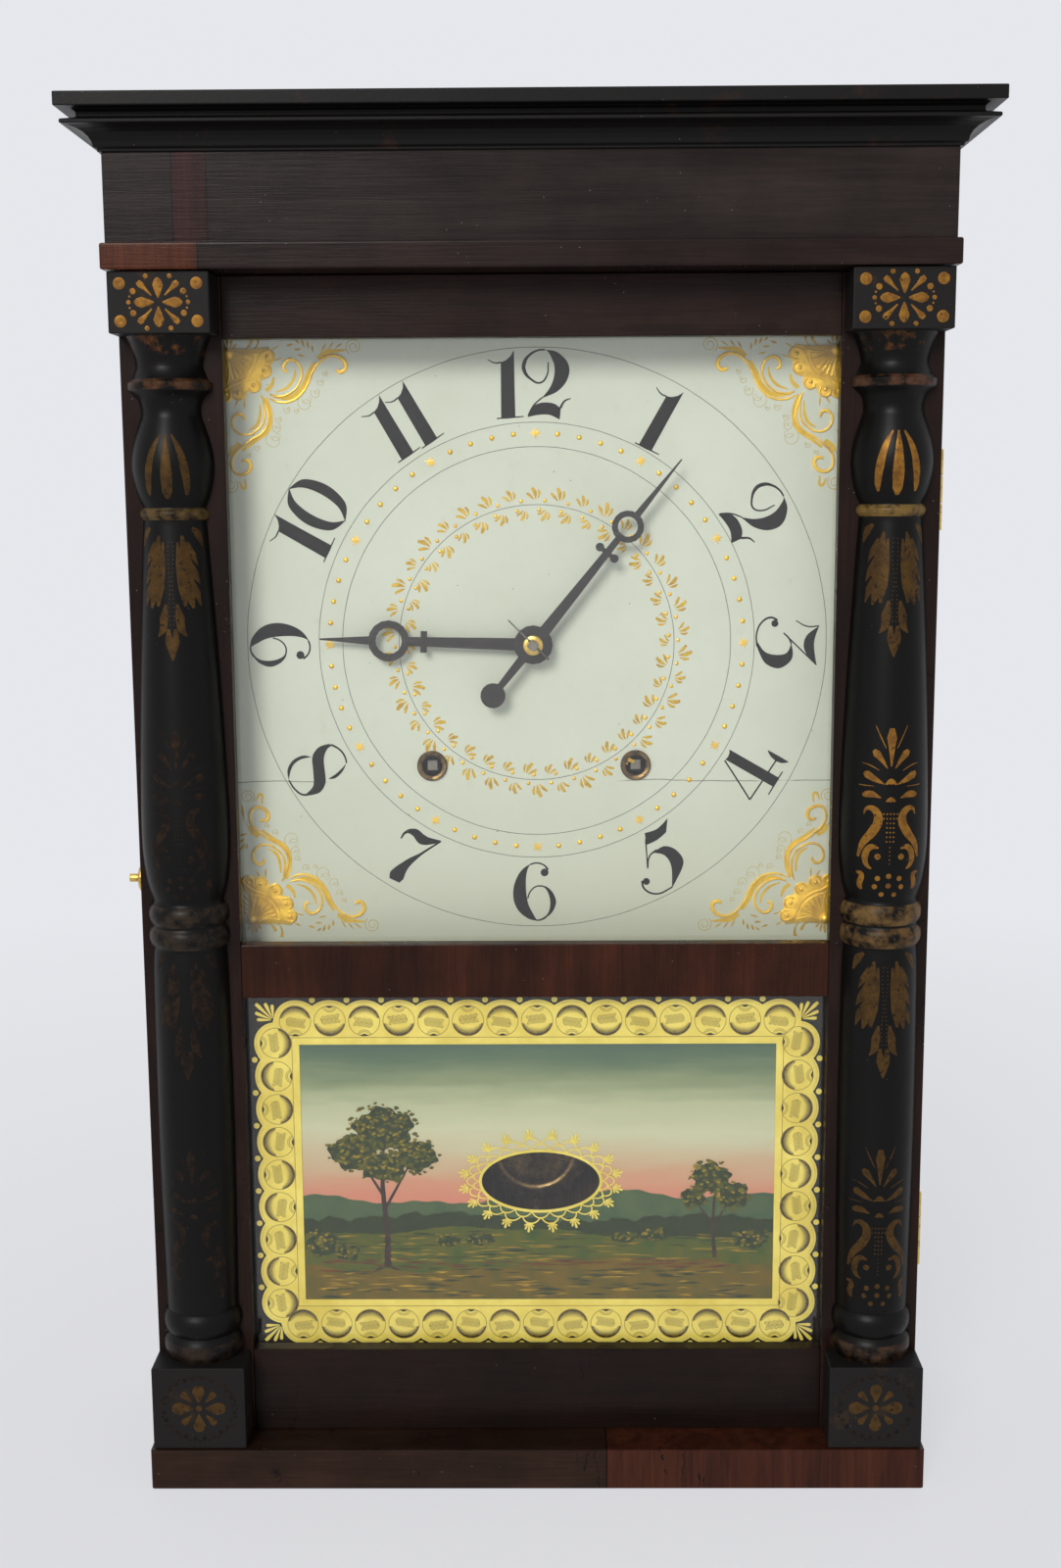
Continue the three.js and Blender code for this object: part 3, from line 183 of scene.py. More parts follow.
def buildCracks():  # hairline cracks that run along Z of the vector that is given
    tree, given, out = newGroup(
        "hairCracks",
        [("Place", "Vector", None), ("Scale", "Float", 60.0), ("Width", "Float", 0.02), ("Share", "Float", 0.5)],
        [("Mask", "Float")],
    )
    long = addNode(tree, "Mapping", {"Vector": given["Place"], "Scale": (1, 1, 0.12)})
    wander = addNode(tree, "TexNoise", {"Vector": given["Place"], "Scale": 220.0, "Detail": 4})
    pull = blendColors(tree, 0.0035, long.outputs[0], wander.outputs[1], "ADD")
    cells = addNode(tree, "TexVoronoi", {"Vector": pull, "Scale": given["Scale"]}, feature="DISTANCE_TO_EDGE")
    line = sumNode(tree, "LESS_THAN", cells.outputs[0], given["Width"])
    part = addNode(tree, "TexNoise", {"Vector": given["Place"], "Scale": 38.0, "Detail": 3})
    keep = sumNode(tree, "GREATER_THAN", part.outputs[0], given["Share"])
    tree.links.new(sumNode(tree, "MULTIPLY", line, keep), out["Mask"])
    return tree


def buildJoint():  # a veneer patch between two places along X, with a dark line at each side
    tree, given, out = newGroup(
        "veneerJoint",
        [("Place", "Vector", None), ("Middle", "Float", 0.0), ("Half", "Float", 0.01)],
        [("Patch", "Float"), ("Line", "Float")],
    )
    parts = addNode(tree, "SeparateXYZ", {0: given["Place"]})
    wobble = addNode(tree, "TexNoise", {"Vector": given["Place"], "Scale": 150.0, "Detail": 3})
    across = sumNode(tree, "MULTIPLY_ADD", wobble.outputs[0], 0.0006, parts.outputs[0])
    away = sumNode(tree, "ABSOLUTE", sumNode(tree, "SUBTRACT", across, given["Middle"]))
    tree.links.new(sumNode(tree, "LESS_THAN", away, given["Half"]), out["Patch"])
    tree.links.new(addNode(tree, "Math", {0: away, 1: given["Half"], 2: 0.00035}, operation="COMPARE").outputs[0],
        out["Line"])
    return tree


def buildDust():  # small pale specks and a change of gloss
    tree, given, out = newGroup(
        "dustAndHandling",
        [("Place", "Vector", None), ("Gloss", "Float", 0.35), ("Spread", "Float", 0.2)],
        [("Specks", "Float"), ("Roughness", "Float")],
    )
    cells = addNode(tree, "TexVoronoi", {"Vector": given["Place"], "Scale": 260.0})
    spots = sumNode(tree, "LESS_THAN", cells.outputs[0], 0.045)
    some = addNode(tree, "TexNoise", {"Vector": given["Place"], "Scale": 25.0, "Detail": 4})
    tree.links.new(sumNode(tree, "MULTIPLY", spots, sumNode(tree, "GREATER_THAN", some.outputs[0], 0.56)),
        out["Specks"])
    cloud = addNode(tree, "TexNoise", {"Vector": given["Place"], "Scale": 18.0, "Detail": 8, "Roughness": 0.6})
    tree.links.new(sumNode(tree, "MULTIPLY_ADD", sumNode(tree, "SUBTRACT", cloud.outputs[0], 0.5), given["Spread"],
        given["Gloss"]), out["Roughness"])
    return tree


grain, patches, cracks, veneerJoint, dust = buildGrain(), buildPatches(), buildCracks(), buildJoint(), buildDust()


# materials
def startMaterial(name, turn=(0, 0, 0), **shaderValues):
    material = bpy.data.materials.new(name)
    material.use_nodes = True
    tree = material.node_tree
    shader = tree.nodes["Principled BSDF"]
    for label, value in shaderValues.items():
        shader.inputs[label].default_value = value
    place = addNode(tree, "TexCoord").outputs["Object"]
    if any(turn):
        place = addNode(tree, "Mapping", {"Vector": place, "Rotation": turn}).outputs[0]
    return material, tree, shader, place


def setBump(tree, shader, height, strength, distance):
    bump = addNode(tree, "Bump", {"Height": height, "Strength": strength, "Distance": distance})
    tree.links.new(bump.outputs[0], shader.inputs["Normal"])


alongX = (0, math.pi / 2, 0)  # turns the figure of a board that lies across the clock


def veneer(name, pale, deep, turn=(0, 0, 0), joint=None, crackShare=0.62, gloss=0.3):
    material, tree, shader, place = startMaterial(name, turn, **{"Specular IOR Level": 0.11, "Coat Roughness": 0.2})
    wood = placeGroup(tree, grain, {"Place": place, "Pale": shade(*pale), "Deep": shade(*deep), "Fineness": 42.0})
    grime = placeGroup(tree, patches, {"Place": place, "Scale": 24.0, "Amount": 0.5, "Softness": 0.16})
    color = blendColors(tree, sumNode(tree, "MULTIPLY", grime["Mask"], 0.55), wood["Color"],
        shade(*(c * 0.5 for c in deep)))
    if joint:
        straight = addNode(tree, "TexCoord").outputs["Object"]
        patch = placeGroup(tree, veneerJoint,
            {"Place": straight, "Middle": joint["middle"] * mm, "Half": joint["half"] * mm})
        other = placeGroup(tree, grain,
            {"Place": straight, "Pale": shade(*joint["pale"]), "Deep": shade(*joint["deep"]), "Fineness": 90.0})
        color = blendColors(tree, patch["Patch"], color, other["Color"])
        color = blendColors(tree, patch["Line"], color, shade(14, 9, 8))
    cross = addNode(tree, "Mapping", {"Vector": place, "Rotation": (0, math.pi / 2, 0)}).outputs[0]
    hair = placeGroup(tree, cracks, {"Place": cross, "Scale": 70.0, "Width": 0.012, "Share": crackShare})
    color = blendColors(tree, hair["Mask"], color, shade(16, 10, 8))
    specks = placeGroup(tree, dust, {"Place": place, "Gloss": gloss, "Spread": 0.35})
    color = blendColors(tree, specks["Specks"], color, shade(150, 140, 125))
    tree.links.new(color, shader.inputs["Base Color"])
    tree.links.new(specks["Roughness"], shader.inputs["Roughness"])
    height = sumNode(tree, "SUBTRACT", wood["Height"], hair["Mask"])
    setBump(tree, shader, height, 0.25, 0.0004)
    shader.inputs["Coat Weight"].default_value = 0.015
    return material


def ebony(name, base=(16, 14, 13), brown=(40, 24, 15), gloss=0.38, wear=0.66, coat=0.015, bands=()):
    material, tree, shader, place = startMaterial(name, **{"Specular IOR Level": 0.12, "Coat Roughness": 0.25})
    worn = placeGroup(tree, patches, {"Place": place, "Scale": 45.0, "Amount": wear, "Softness": 0.06})
    color = blendColors(tree, worn["Mask"], shade(*base), shade(*brown))
    height = addNode(tree, "SeparateXYZ", {0: place}).outputs[2]
    for up, half, tone, share in bands:  # rings that were once gilt, and a collar with a painted sheen: height, half height, colour, how much is left
        away = sumNode(tree, "ABSOLUTE", sumNode(tree, "SUBTRACT", height, up * mm))
        ring = stepNode(tree, away, half * mm, (half + 0.5) * mm, 1.0, 0.0)
        wearAndSheenMask = placeGroup(tree, patches, {"Place": place, "Scale": 150.0, "Amount": share, "Softness": 0.1})
        color = blendColors(tree, sumNode(tree, "MULTIPLY", ring, wearAndSheenMask["Mask"]), color, shade(*tone))
    specks = placeGroup(tree, dust, {"Place": place, "Gloss": gloss, "Spread": 0.3})
    color = blendColors(tree, specks["Specks"], color, shade(110, 104, 95))
    tree.links.new(color, shader.inputs["Base Color"])
    tree.links.new(specks["Roughness"], shader.inputs["Roughness"])
    fine = addNode(tree, "TexNoise", {"Vector": place, "Scale": 420.0, "Detail": 5})
    setBump(tree, shader, fine.outputs[0], 0.12, 0.0003)
    shader.inputs["Coat Weight"].default_value = coat
    return material


def plainWood(name, pale, deep, turn=(0, 0, 0), gloss=0.6, steelBefore=None):
    material, tree, shader, place = startMaterial(name, turn, **{"Specular IOR Level": 0.3})
    wood = placeGroup(tree, grain, {"Place": place, "Pale": shade(*pale), "Deep": shade(*deep), "Fineness": 75.0})
    grime = placeGroup(tree, patches, {"Place": place, "Scale": 14.0, "Amount": 0.55, "Softness": 0.14})
    color = blendColors(tree, sumNode(tree, "MULTIPLY", grime["Mask"], 0.5), wood["Color"],
        shade(*(c * 0.55 for c in deep)))
    if steelBefore is not None:  # the end of the arbor, in front of this place
        front = addNode(tree, "SeparateXYZ", {0: addNode(tree, "TexCoord").outputs["Object"]}).outputs[1]
        bare = sumNode(tree, "LESS_THAN", front, steelBefore)
        color = blendColors(tree, bare, color, shade(112, 108, 100))
        tree.links.new(sumNode(tree, "MULTIPLY", bare, 0.8), shader.inputs["Metallic"])
    tree.links.new(color, shader.inputs["Base Color"])
    rough = placeGroup(tree, dust, {"Place": place, "Gloss": gloss, "Spread": 0.25})
    tree.links.new(rough["Roughness"], shader.inputs["Roughness"])
    setBump(tree, shader, wood["Height"], 0.35, 0.0005)
    return material


def metal(name, bright, dull, gloss, share, metallic=1.0, fine=260.0):
    material, tree, shader, place = startMaterial(name, **{"Metallic": metallic})
    tarnish = placeGroup(tree, patches, {"Place": place, "Scale": fine, "Amount": share, "Softness": 0.14})
    tree.links.new(blendColors(tree, tarnish["Mask"], shade(*bright), shade(*dull)), shader.inputs["Base Color"])
    rough = placeGroup(tree, dust, {"Place": place, "Gloss": gloss, "Spread": 0.3})
    tree.links.new(rough["Roughness"], shader.inputs["Roughness"])
    scratch = addNode(tree, "TexNoise", {"Vector": place, "Scale": 900.0, "Detail": 4})
    setBump(tree, shader, scratch.outputs[0], 0.15, 0.0002)
    return material


def paint(name, color, other, scale=120.0, amount=0.5, soft=0.12, gloss=0.5, metallic=0.0, bump=0.1, losses=None):
    material, tree, shader, place = startMaterial(name, **{"Metallic": metallic, "Specular IOR Level": 0.08})
    cloud = placeGroup(tree, patches, {"Place": place, "Scale": scale, "Amount": amount, "Softness": soft})
    mixed = blendColors(tree, cloud["Mask"], shade(*color), shade(*other))
    if losses:
        gone = placeGroup(tree, patches,
            {"Place": place, "Scale": losses["scale"], "Amount": losses["amount"],
                "Softness": losses.get("soft", 0.015)})
        mixed = blendColors(tree, gone["Mask"], mixed, shade(*losses["color"]))
        if metallic:
            tree.links.new(stepNode(tree, gone["Mask"], 0.0, 1.0, metallic, 0.0), shader.inputs["Metallic"])
    tree.links.new(mixed, shader.inputs["Base Color"])
    rough = placeGroup(tree, dust, {"Place": place, "Gloss": gloss, "Spread": 0.2})
    tree.links.new(rough["Roughness"], shader.inputs["Roughness"])
    setBump(tree, shader, cloud["Mask"], bump, 0.0002)
    return material


# places on the dial, m
dialWear = dict(yellowFrom=0.37, yellowBelow=0.28, splitUp=0.3512, splitMiddle=-0.03, splitReach=0.07)


def dialPaint():
    material, tree, shader, place = startMaterial("dialPaint", **{"Specular IOR Level": 0.35})
    cloud = placeGroup(tree, patches, {"Place": place, "Scale": 9.0, "Amount": 0.5, "Softness": 0.22})
    color = blendColors(tree, cloud["Mask"], shade(212, 214, 200), shade(200, 202, 184))
    fine = placeGroup(tree, patches, {"Place": place, "Scale": 160.0, "Amount": 0.68, "Softness": 0.1})
    color = blendColors(tree, sumNode(tree, "MULTIPLY", fine["Mask"], 0.35), color, shade(188, 186, 160))
    parts = addNode(tree, "SeparateXYZ", {0: place})
    # yellower towards the foot of the dial
    foot = stepNode(tree, parts.outputs[2], dialWear["yellowFrom"], dialWear["yellowBelow"], 0.0, 0.45)
    color = blendColors(tree, foot, color, shade(186, 184, 156))
    wander = addNode(tree, "TexNoise", {"Vector": place, "Scale": 26.0, "Detail": 5})
    lift = sumNode(tree, "MULTIPLY_ADD", wander.outputs[0], 0.004, parts.outputs[2])
    away = sumNode(tree, "ABSOLUTE", sumNode(tree, "SUBTRACT", lift, dialWear["splitUp"]))
    split = stepNode(tree, away, 0.0001, 0.00024, 1.0, 0.0)
    broken = placeGroup(tree, patches, {"Place": place, "Scale": 30.0, "Amount": 0.46, "Softness": 0.03})
    fromMiddle = sumNode(tree, "ABSOLUTE", sumNode(tree, "SUBTRACT", parts.outputs[0], dialWear["splitMiddle"]))
    # the split runs in from both edges of the board
    reach = stepNode(tree, fromMiddle, dialWear["splitReach"], dialWear["splitReach"] + 0.008, 0.0, 1.0)
    line = sumNode(tree, "MULTIPLY", sumNode(tree, "MULTIPLY", split, reach), broken["Mask"])
    color = blendColors(tree, line, color, shade(92, 78, 58))
    flecks = addNode(tree, "TexVoronoi", {"Vector": place, "Scale": 75.0})
    fleck = sumNode(tree, "LESS_THAN", flecks.outputs[0], 0.022)
    color = blendColors(tree, fleck, color, shade(120, 96, 66))
    tree.links.new(color, shader.inputs["Base Color"])
    rough = placeGroup(tree, dust, {"Place": place, "Gloss": 0.5, "Spread": 0.2})
    tree.links.new(rough["Roughness"], shader.inputs["Roughness"])
    setBump(tree, shader, sumNode(tree, "SUBTRACT", fine["Mask"], line), 0.12, 0.0002)
    return material


def oldGlass(name):  # clear, lets the lamp's light through, and is a little wavy
    material, tree, shader, place = startMaterial(name,
        **{"Base Color": (1, 1, 1, 1), "Roughness": 0.0, "IOR": 1.46, "Transmission Weight": 1.0,
            "Specular IOR Level": 0.12})
    wave = addNode(tree, "TexNoise", {"Vector": place, "Scale": 16.0, "Detail": 1})
    setBump(tree, shader, wave.outputs[0], 0.04, 0.0004)
    path = addNode(tree, "LightPath")
    clear = addNode(tree, "BsdfTransparent", {0: (0.96, 0.98, 0.96, 1)})
    either = addNode(tree, "MixShader", {1: shader.outputs[0], 2: clear.outputs[0]})
    tree.links.new(sumNode(tree, "MAXIMUM", path.outputs["Is Shadow Ray"], path.outputs["Is Diffuse Ray"]),
        either.inputs[0])
    tree.links.new(either.outputs[0], tree.nodes["Material Output"].inputs[0])
    return material


skyPlan = dict(low=0.147, high=0.232,
    stops=((0.0, (206, 126, 104)), (0.1, (204, 140, 112)), (0.24, (198, 166, 132)), (0.44, (198, 196, 162)),
        (0.62, (180, 182, 146)), (0.76, (132, 142, 106)), (0.88, (88, 108, 82)), (1.0, (66, 88, 76))))


def pictureSky():  # a plain evening sky, blue-grey above and warm below
    material, tree, shader, place = startMaterial("pictureSky", **{"Roughness": 0.5, "Specular IOR Level": 0.2})
    parts = addNode(tree, "SeparateXYZ", {0: place})
    brush = addNode(tree, "TexNoise",
        {"Vector": addNode(tree, "Mapping", {"Vector": place, "Scale": (1, 1, 6)}).outputs[0], "Scale": 16.0,
            "Detail": 6, "Roughness": 0.6})
    level = sumNode(tree, "MULTIPLY_ADD", brush.outputs[0], 0.02, parts.outputs[2])
    share = stepNode(tree, level, skyPlan["low"], skyPlan["high"])
    ramp = addNode(tree, "ValToRGB", {0: share})
    while len(ramp.color_ramp.elements) < len(skyPlan["stops"]):
        ramp.color_ramp.elements.new(0.5)
    for element, (spot, color) in zip(ramp.color_ramp.elements, skyPlan["stops"]):
        element.position = spot
        element.color = shade(*color)
    tree.links.new(ramp.outputs[0], shader.inputs["Base Color"])
    return material


# rings of the columns that were once gilt, and a collar whose tone is a painted sheen: height and half height in mm
ringAt = dict(neck=(480.8, 2.4), belt=(279, 4.6), upperBelt=(290, 4.6), collar=(539.6, 2.2), foot=(68, 4.5),
    head=(557, 4))


def rubbedRings(**tones):
    return [ringAt[ring] + tone for ring, tone in tones.items()]


finish = dict(
    stile=veneer("darkUprightVeneer", (44, 27, 21), (26, 14, 10)),
    topRail=veneer("topRailVeneer", (52, 36, 30), (32, 20, 16), alongX),
    midRail=veneer("redRailVeneer", (72, 36, 21), (42, 19, 11), crackShare=0.72),
    lowRail=veneer("lowRailVeneer", (38, 25, 20), (22, 13, 11), alongX),
    frieze=veneer("friezeVeneer", (52, 43, 40), (30, 20, 17), alongX,
        dict(middle=-151.6, half=7.8, pale=(56, 28, 25), deep=(34, 14, 11)), 0.75),
    band=veneer("bandVeneer", (50, 36, 32), (30, 19, 16), alongX,
        dict(middle=-172.0, half=23.6, pale=(86, 42, 22), deep=(52, 24, 14)), 0.75),
    base=veneer("baseVeneer", (58, 38, 27), (34, 19, 13), alongX,
        dict(middle=118.0, half=83.0, pale=(74, 38, 24), deep=(45, 20, 13)), 0.6),
    side=veneer("sideVeneer", (62, 32, 21), (36, 17, 11)),
    black=ebony("blackBoard"),
    # the collar tones below are a painted sheen on that ring, not old gilding
    blackTurned=ebony("blackTurning", (9, 8, 7), (34, 20, 11), 0.4, 0.7, 0.02,
        rubbedRings(neck=((112, 88, 46), 0.42), belt=((94, 70, 38), 0.5), upperBelt=((100, 76, 42), 0.48),
            collar=((78, 52, 36), 0.5), foot=((60, 42, 28), 0.52), head=((96, 58, 20), 0.62))),
    blackRubbed=ebony("rubbedTurning", (9, 8, 7), (34, 20, 11), 0.4, 0.7, 0.02,
        rubbedRings(neck=((84, 66, 36), 0.46), belt=((44, 36, 26), 0.52), upperBelt=((48, 38, 27), 0.52),
            collar=((78, 52, 32), 0.52), foot=((40, 30, 22), 0.52), head=((96, 58, 20), 0.6))),
    blackBlock=ebony("blackBlock", (24, 22, 21), (46, 34, 24), 0.5, 0.64),
    pine=plainWood("barePine", (146, 110, 74), (104, 72, 44)),
    maple=plainWood("wheelWood", (150, 104, 60), (104, 66, 36)),
    arborWood=plainWood("wheelWithArbor", (150, 104, 60), (104, 66, 36), steelBefore=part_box("front_plate")[0][1]),
    # the plates' wood is darkened as painted shade, so the winding holes look black
    plate=plainWood("plateWoodPaintedShade", (70, 50, 34), (44, 30, 20), alongX),
    dial=dialPaint(),
    glass=oldGlass("oldGlass"),
    brass=metal("agedBrass", (216, 184, 96), (130, 102, 48), 0.34, 0.6),
    darkBrass=metal("dullBrass", (120, 98, 62), (58, 46, 32), 0.42, 0.5),
    steel=metal("brownedSteel", (30, 24, 21), (18, 14, 12), 0.5, 0.5, 0.35),
    bareSteel=metal("greySteel", (142, 138, 130), (84, 78, 70), 0.38, 0.5),
    iron=metal("castIron", (62, 58, 54), (34, 28, 24), 0.6, 0.5, 0.8, 120.0),
    gilt=metal("gilding", (236, 190, 50), (182, 134, 26), 0.38, 0.6, 0.4, 140.0),
    giltFlat=paint("goldPaint", (202, 166, 60), (164, 126, 40), 260.0, 0.55, 0.1, 0.4, 0.35, 0.15),
    leafGold=paint("leafGold", (240, 218, 108), (218, 192, 78), 40.0, 0.52, 0.14, 0.5, 0.1, 0.05),
    goldShade=paint("softGold", (226, 186, 58), (206, 164, 44), 160.0, 0.5, 0.14, 0.5, 0.1, 0.1),
    goldThin=paint("thinGold", (196, 176, 104), (184, 160, 84), 260.0, 0.5, 0.14, 0.5, 0.0, 0.05),
    stencilGold=paint("stencilGold", (142, 100, 38), (104, 70, 34), 240.0, 0.5, 0.12, 0.42, 0.35, 0.1,
        dict(scale=520.0, amount=0.63, color=(30, 24, 19))),
    bronze=paint("bronzePowder", (80, 58, 28), (56, 41, 24), 200.0, 0.5, 0.14, 0.45, 0.3, 0.1,
        dict(scale=520.0, amount=0.6, color=(28, 23, 19), soft=0.04)),
    bronzeFaint=paint("rubbedBronze", (46, 33, 22), (30, 23, 18), 300.0, 0.5, 0.1, 0.45, 0.2, 0.1,
        dict(scale=220.0, amount=0.5, color=(18, 16, 15), soft=0.08)),
    ink=paint("numeralBlack", (17, 16, 15), (28, 25, 22), 300.0, 0.55, 0.1, 0.5, 0.0, 0.05,
        dict(scale=190.0, amount=0.74, color=(130, 126, 108))),
    thinInk=paint("lineInk", (104, 104, 94), (130, 130, 116), 300.0),
    glassBlack=paint("borderBlack", (20, 16, 12), (26, 20, 15), 60.0, 0.5, 0.15, 0.6),
    umber=paint("shadingUmber", (92, 70, 26), (48, 34, 14), 420.0, 0.5, 0.08, 0.5),
    engraving=paint("engravedLine", (128, 104, 40), (156, 130, 58), 300.0),
    sprigLine=paint("sprigLine", (120, 94, 30), (98, 74, 22), 300.0),
    ochre=paint("ochreTouch", (176, 136, 30), (132, 104, 24), 200.0, 0.5, 0.1),
    earth=paint("earthTouch", (108, 56, 28), (80, 42, 24), 200.0, 0.5, 0.1),
    leafLight=paint("leafLight", (150, 124, 30), (112, 102, 26), 300.0, 0.5, 0.08),
    sky=pictureSky(),
    farHill=paint("farHill", (62, 84, 58), (82, 96, 64), 90.0, 0.5, 0.12),
    meadow=paint("meadow", (58, 78, 26), (92, 88, 22), 110.0, 0.5, 0.14),
    nearBank=paint("nearBank", (82, 76, 18), (112, 86, 18), 120.0, 0.5, 0.14),
    leaves=paint("treeLeaves", (68, 76, 22), (96, 86, 22), 420.0, 0.5, 0.06),
    darkLeaves=paint("shadeLeaves", (34, 46, 24), (48, 58, 28), 380.0, 0.5, 0.06),
    trunk=paint("treeTrunk", (66, 50, 42), (44, 34, 28), 300.0),
    flax=paint("flaxCord", (150, 124, 84), (104, 84, 54), 700.0, 0.5, 0.08, 0.8),
)
print("materials made", len(finish))

# the boards, wheels and fittings of the model itself
nodeFinish = dict(
    stile=["door_stile_left", "door_stile_right"], topRail=["door_top_rail"], midRail=["door_mid_rail"],
    lowRail=["door_bottom_rail"],
    frieze=["frieze_front"], band=["band_board"], base=["base_board"],
    side=["case_side_left", "case_side_right", "frieze_end_left", "frieze_end_right"],
    black=["cap_board", "cornice_moulding"],
    blackBlock=["base_block_left", "base_block_right", "capital_block_left", "capital_block_right"],
    blackTurned=["half_column_left", "half_column_right"],
    pine=["back_board", "chute_board_left", "chute_board_right"],
    arborWood=["centre_wheel", "time_drum", "strike_drum"],
    maple=["escape_wheel", "hour_wheel", "minute_wheel", "pin_wheel", "second_wheel", "third_wheel",
        "time_great_wheel", "strike_great_wheel", "time_pulley", "strike_pulley"],
    plate=["front_plate", "back_plate"], dial=["dial_board"], glass=["dial_glass", "tablet_glass"],
    iron=["bell", "hammer", "time_weight", "strike_weight"],
    brass=["latch_rose", "latch_hook", "hinge_lower_case_leaf", "hinge_lower_door_leaf", "hinge_upper_case_leaf",
        "hinge_upper_door_leaf"],
    darkBrass=["pendulum_bob"], steel=["hour_hand", "minute_hand", "verge"], bareSteel=["pendulum_rod"],
    flax=["time_cord_run", "strike_cord_run"],
)
softEdge = dict(stile=0.5, topRail=0.5, midRail=0.5, lowRail=0.5, frieze=0.4, band=0.9, base=1.1, side=0.6, black=0.5,
    blackBlock=0.6, pine=0.5, plate=0.5, brass=0.25, iron=0.6, steel=0.12, bareSteel=0.15)

for key, names in nodeFinish.items():
    for name in names:
        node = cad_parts[name]
        node.data.materials.clear()
        node.data.materials.append(finish[key])
        if key in ("glass", "flax"):
            continue
        weld = node.modifiers.new("weld", "WELD")
        weld.merge_threshold = 0.00001
        if key in softEdge:
            bevel = node.modifiers.new("softEdge", "BEVEL")
            bevel.width = softEdge[key] * mm
            bevel.segments = 2
            bevel.limit_method = "ANGLE"
            bevel.angle_limit = math.radians(35)
print("model pieces dressed")


# making new pieces
def clearSelection():
    if bpy.context.object and bpy.context.object.mode != "OBJECT":
        bpy.ops.object.mode_set(mode="OBJECT")
    bpy.ops.object.select_all(action="DESELECT")


def choose(piece):
    clearSelection()
    piece.select_set(True)
    bpy.context.view_layer.objects.active = piece


def finishPiece(piece, name, body, key, smooth=35):
    choose(piece)
    bpy.ops.object.transform_apply(location=True, rotation=True, scale=True)
    piece.name = name
    piece.data.name = name
    piece.data.materials.clear()
    piece.data.materials.append(finish[key])
    bpy.ops.object.shade_smooth_by_angle(angle=math.radians(smooth))
    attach(piece, body)
    return piece


def drawStrokes(strokes, closed=(), turns=3, sides=1):
    # each stroke is a list of (across, up, half width) in mm; the result is a round rod along each stroke, on y = 0
    clearSelection()
    curve = bpy.data.curves.new("strokes", "CURVE")
    curve.dimensions = "3D"
    curve.resolution_u = turns
    curve.bevel_depth = 1.0
    curve.bevel_resolution = sides
    curve.use_fill_caps = True
    for loop, stroke in [(False, s) for s in strokes] + [(True, s) for s in closed]:
        spline = curve.splines.new("BEZIER")
        spline.bezier_points.add(len(stroke) - 1)
        spline.use_cyclic_u = loop
        for point, (across, up, half) in zip(spline.bezier_points, stroke):
            point.co = (across * mm, 0, up * mm)
            point.radius = half * mm
            point.handle_left_type = point.handle_right_type = "AUTO"
    piece = bpy.data.objects.new("strokes", curve)
    scene.collection.objects.link(piece)
    choose(piece)
    bpy.ops.object.convert(target="MESH")
    return bpy.context.object


def pressFlat(piece, face, relief, knee=0.3):
    # lays the rods on a plane: their front bulges by up to the relief, their back lies on the face
    for vertex in piece.data.vertices:
        out = max(-vertex.co.y / mm, 0.0)
        vertex.co.y = face - relief * mm * out / (out + knee)


def inkStrokes(name, strokes, closed=(), face=dialFace, relief=0.08, knee=0.3, body="case", key="ink", turns=3,
        sides=1):
    piece = drawStrokes(strokes, closed, turns, sides)
    pressFlat(piece, face, relief, knee)
    return finishPiece(piece, name, body, key, 60)


def sheetShape(outlines, near, thick, edge=0.0):
    # a flat sheet cut to these outlines, in mm; outlines inside others are holes
    clearSelection()
    curve = bpy.data.curves.new("sheet", "CURVE")
    curve.dimensions = "2D"
    curve.fill_mode = "BOTH"
    curve.extrude = thick * mm / 2 - edge * mm
    curve.bevel_depth = edge * mm
    curve.bevel_resolution = 1
    for outline in outlines:
        spline = curve.splines.new("POLY")
        spline.points.add(len(outline) - 1)
        for point, (across, up) in zip(spline.points, outline):
            point.co = (across * mm, up * mm, 0, 1)
        spline.use_cyclic_u = True
    piece = bpy.data.objects.new("sheet", curve)
    scene.collection.objects.link(piece)
    choose(piece)
    bpy.ops.object.convert(target="MESH")
    piece = bpy.context.object
    piece.rotation_euler = (math.pi / 2, 0, 0)
    piece.location = (0, near + thick * mm / 2, 0)
    bpy.ops.object.transform_apply(location=True, rotation=True, scale=True)
    bpy.ops.object.mode_set(mode="EDIT")
    bpy.ops.mesh.select_all(action="SELECT")
    bpy.ops.mesh.remove_doubles(threshold=0.000001)
    bpy.ops.mesh.normals_make_consistent(inside=False)
    bpy.ops.object.mode_set(mode="OBJECT")
    return piece


def cutSheet(name, outlines, near, thick, body, key, edge=0.0):
    return finishPiece(sheetShape(outlines, near, thick, edge), name, body, key, 40)


def joinPieces(pieces):
    clearSelection()
    for piece in pieces:
        piece.select_set(True)
    bpy.context.view_layer.objects.active = pieces[0]
    if len(pieces) > 1:
        bpy.ops.object.join()
    return pieces[0]


def roundFrom(centre, reach, angle, *half):  # the point at this reach and angle from a centre, with a half width
    return (centre[0] + reach * math.cos(angle), centre[1] + reach * math.sin(angle)) + half


def fullTurn(count):
    return [2 * math.pi * i / count for i in range(count)]


def ellipse(centre, wide, high, count=48):
    return [(centre[0] + wide * math.cos(a), centre[1] + high * math.sin(a)) for a in fullTurn(count)]


def circle(radius, half, centre, count=24):
    return [roundFrom(centre, radius, a, half) for a in fullTurn(count)]


def rectangle(x0, z0, x1, z1):
    return [(x0, z0), (x1, z0), (x1, z1), (x0, z1)]


def turned(points, angle, across=0.0, up=0.0, size=1.0, flip=False):  # turns anticlockwise by angle, then moves
    c, s = math.cos(angle), math.sin(angle)
    made = []
    for point in points:
        x, z = point[0] * size * (-1 if flip else 1), point[1] * size
        made.append((across + x * c - z * s, up + x * s + z * c) + tuple(v * size for v in point[2:]))
    return made


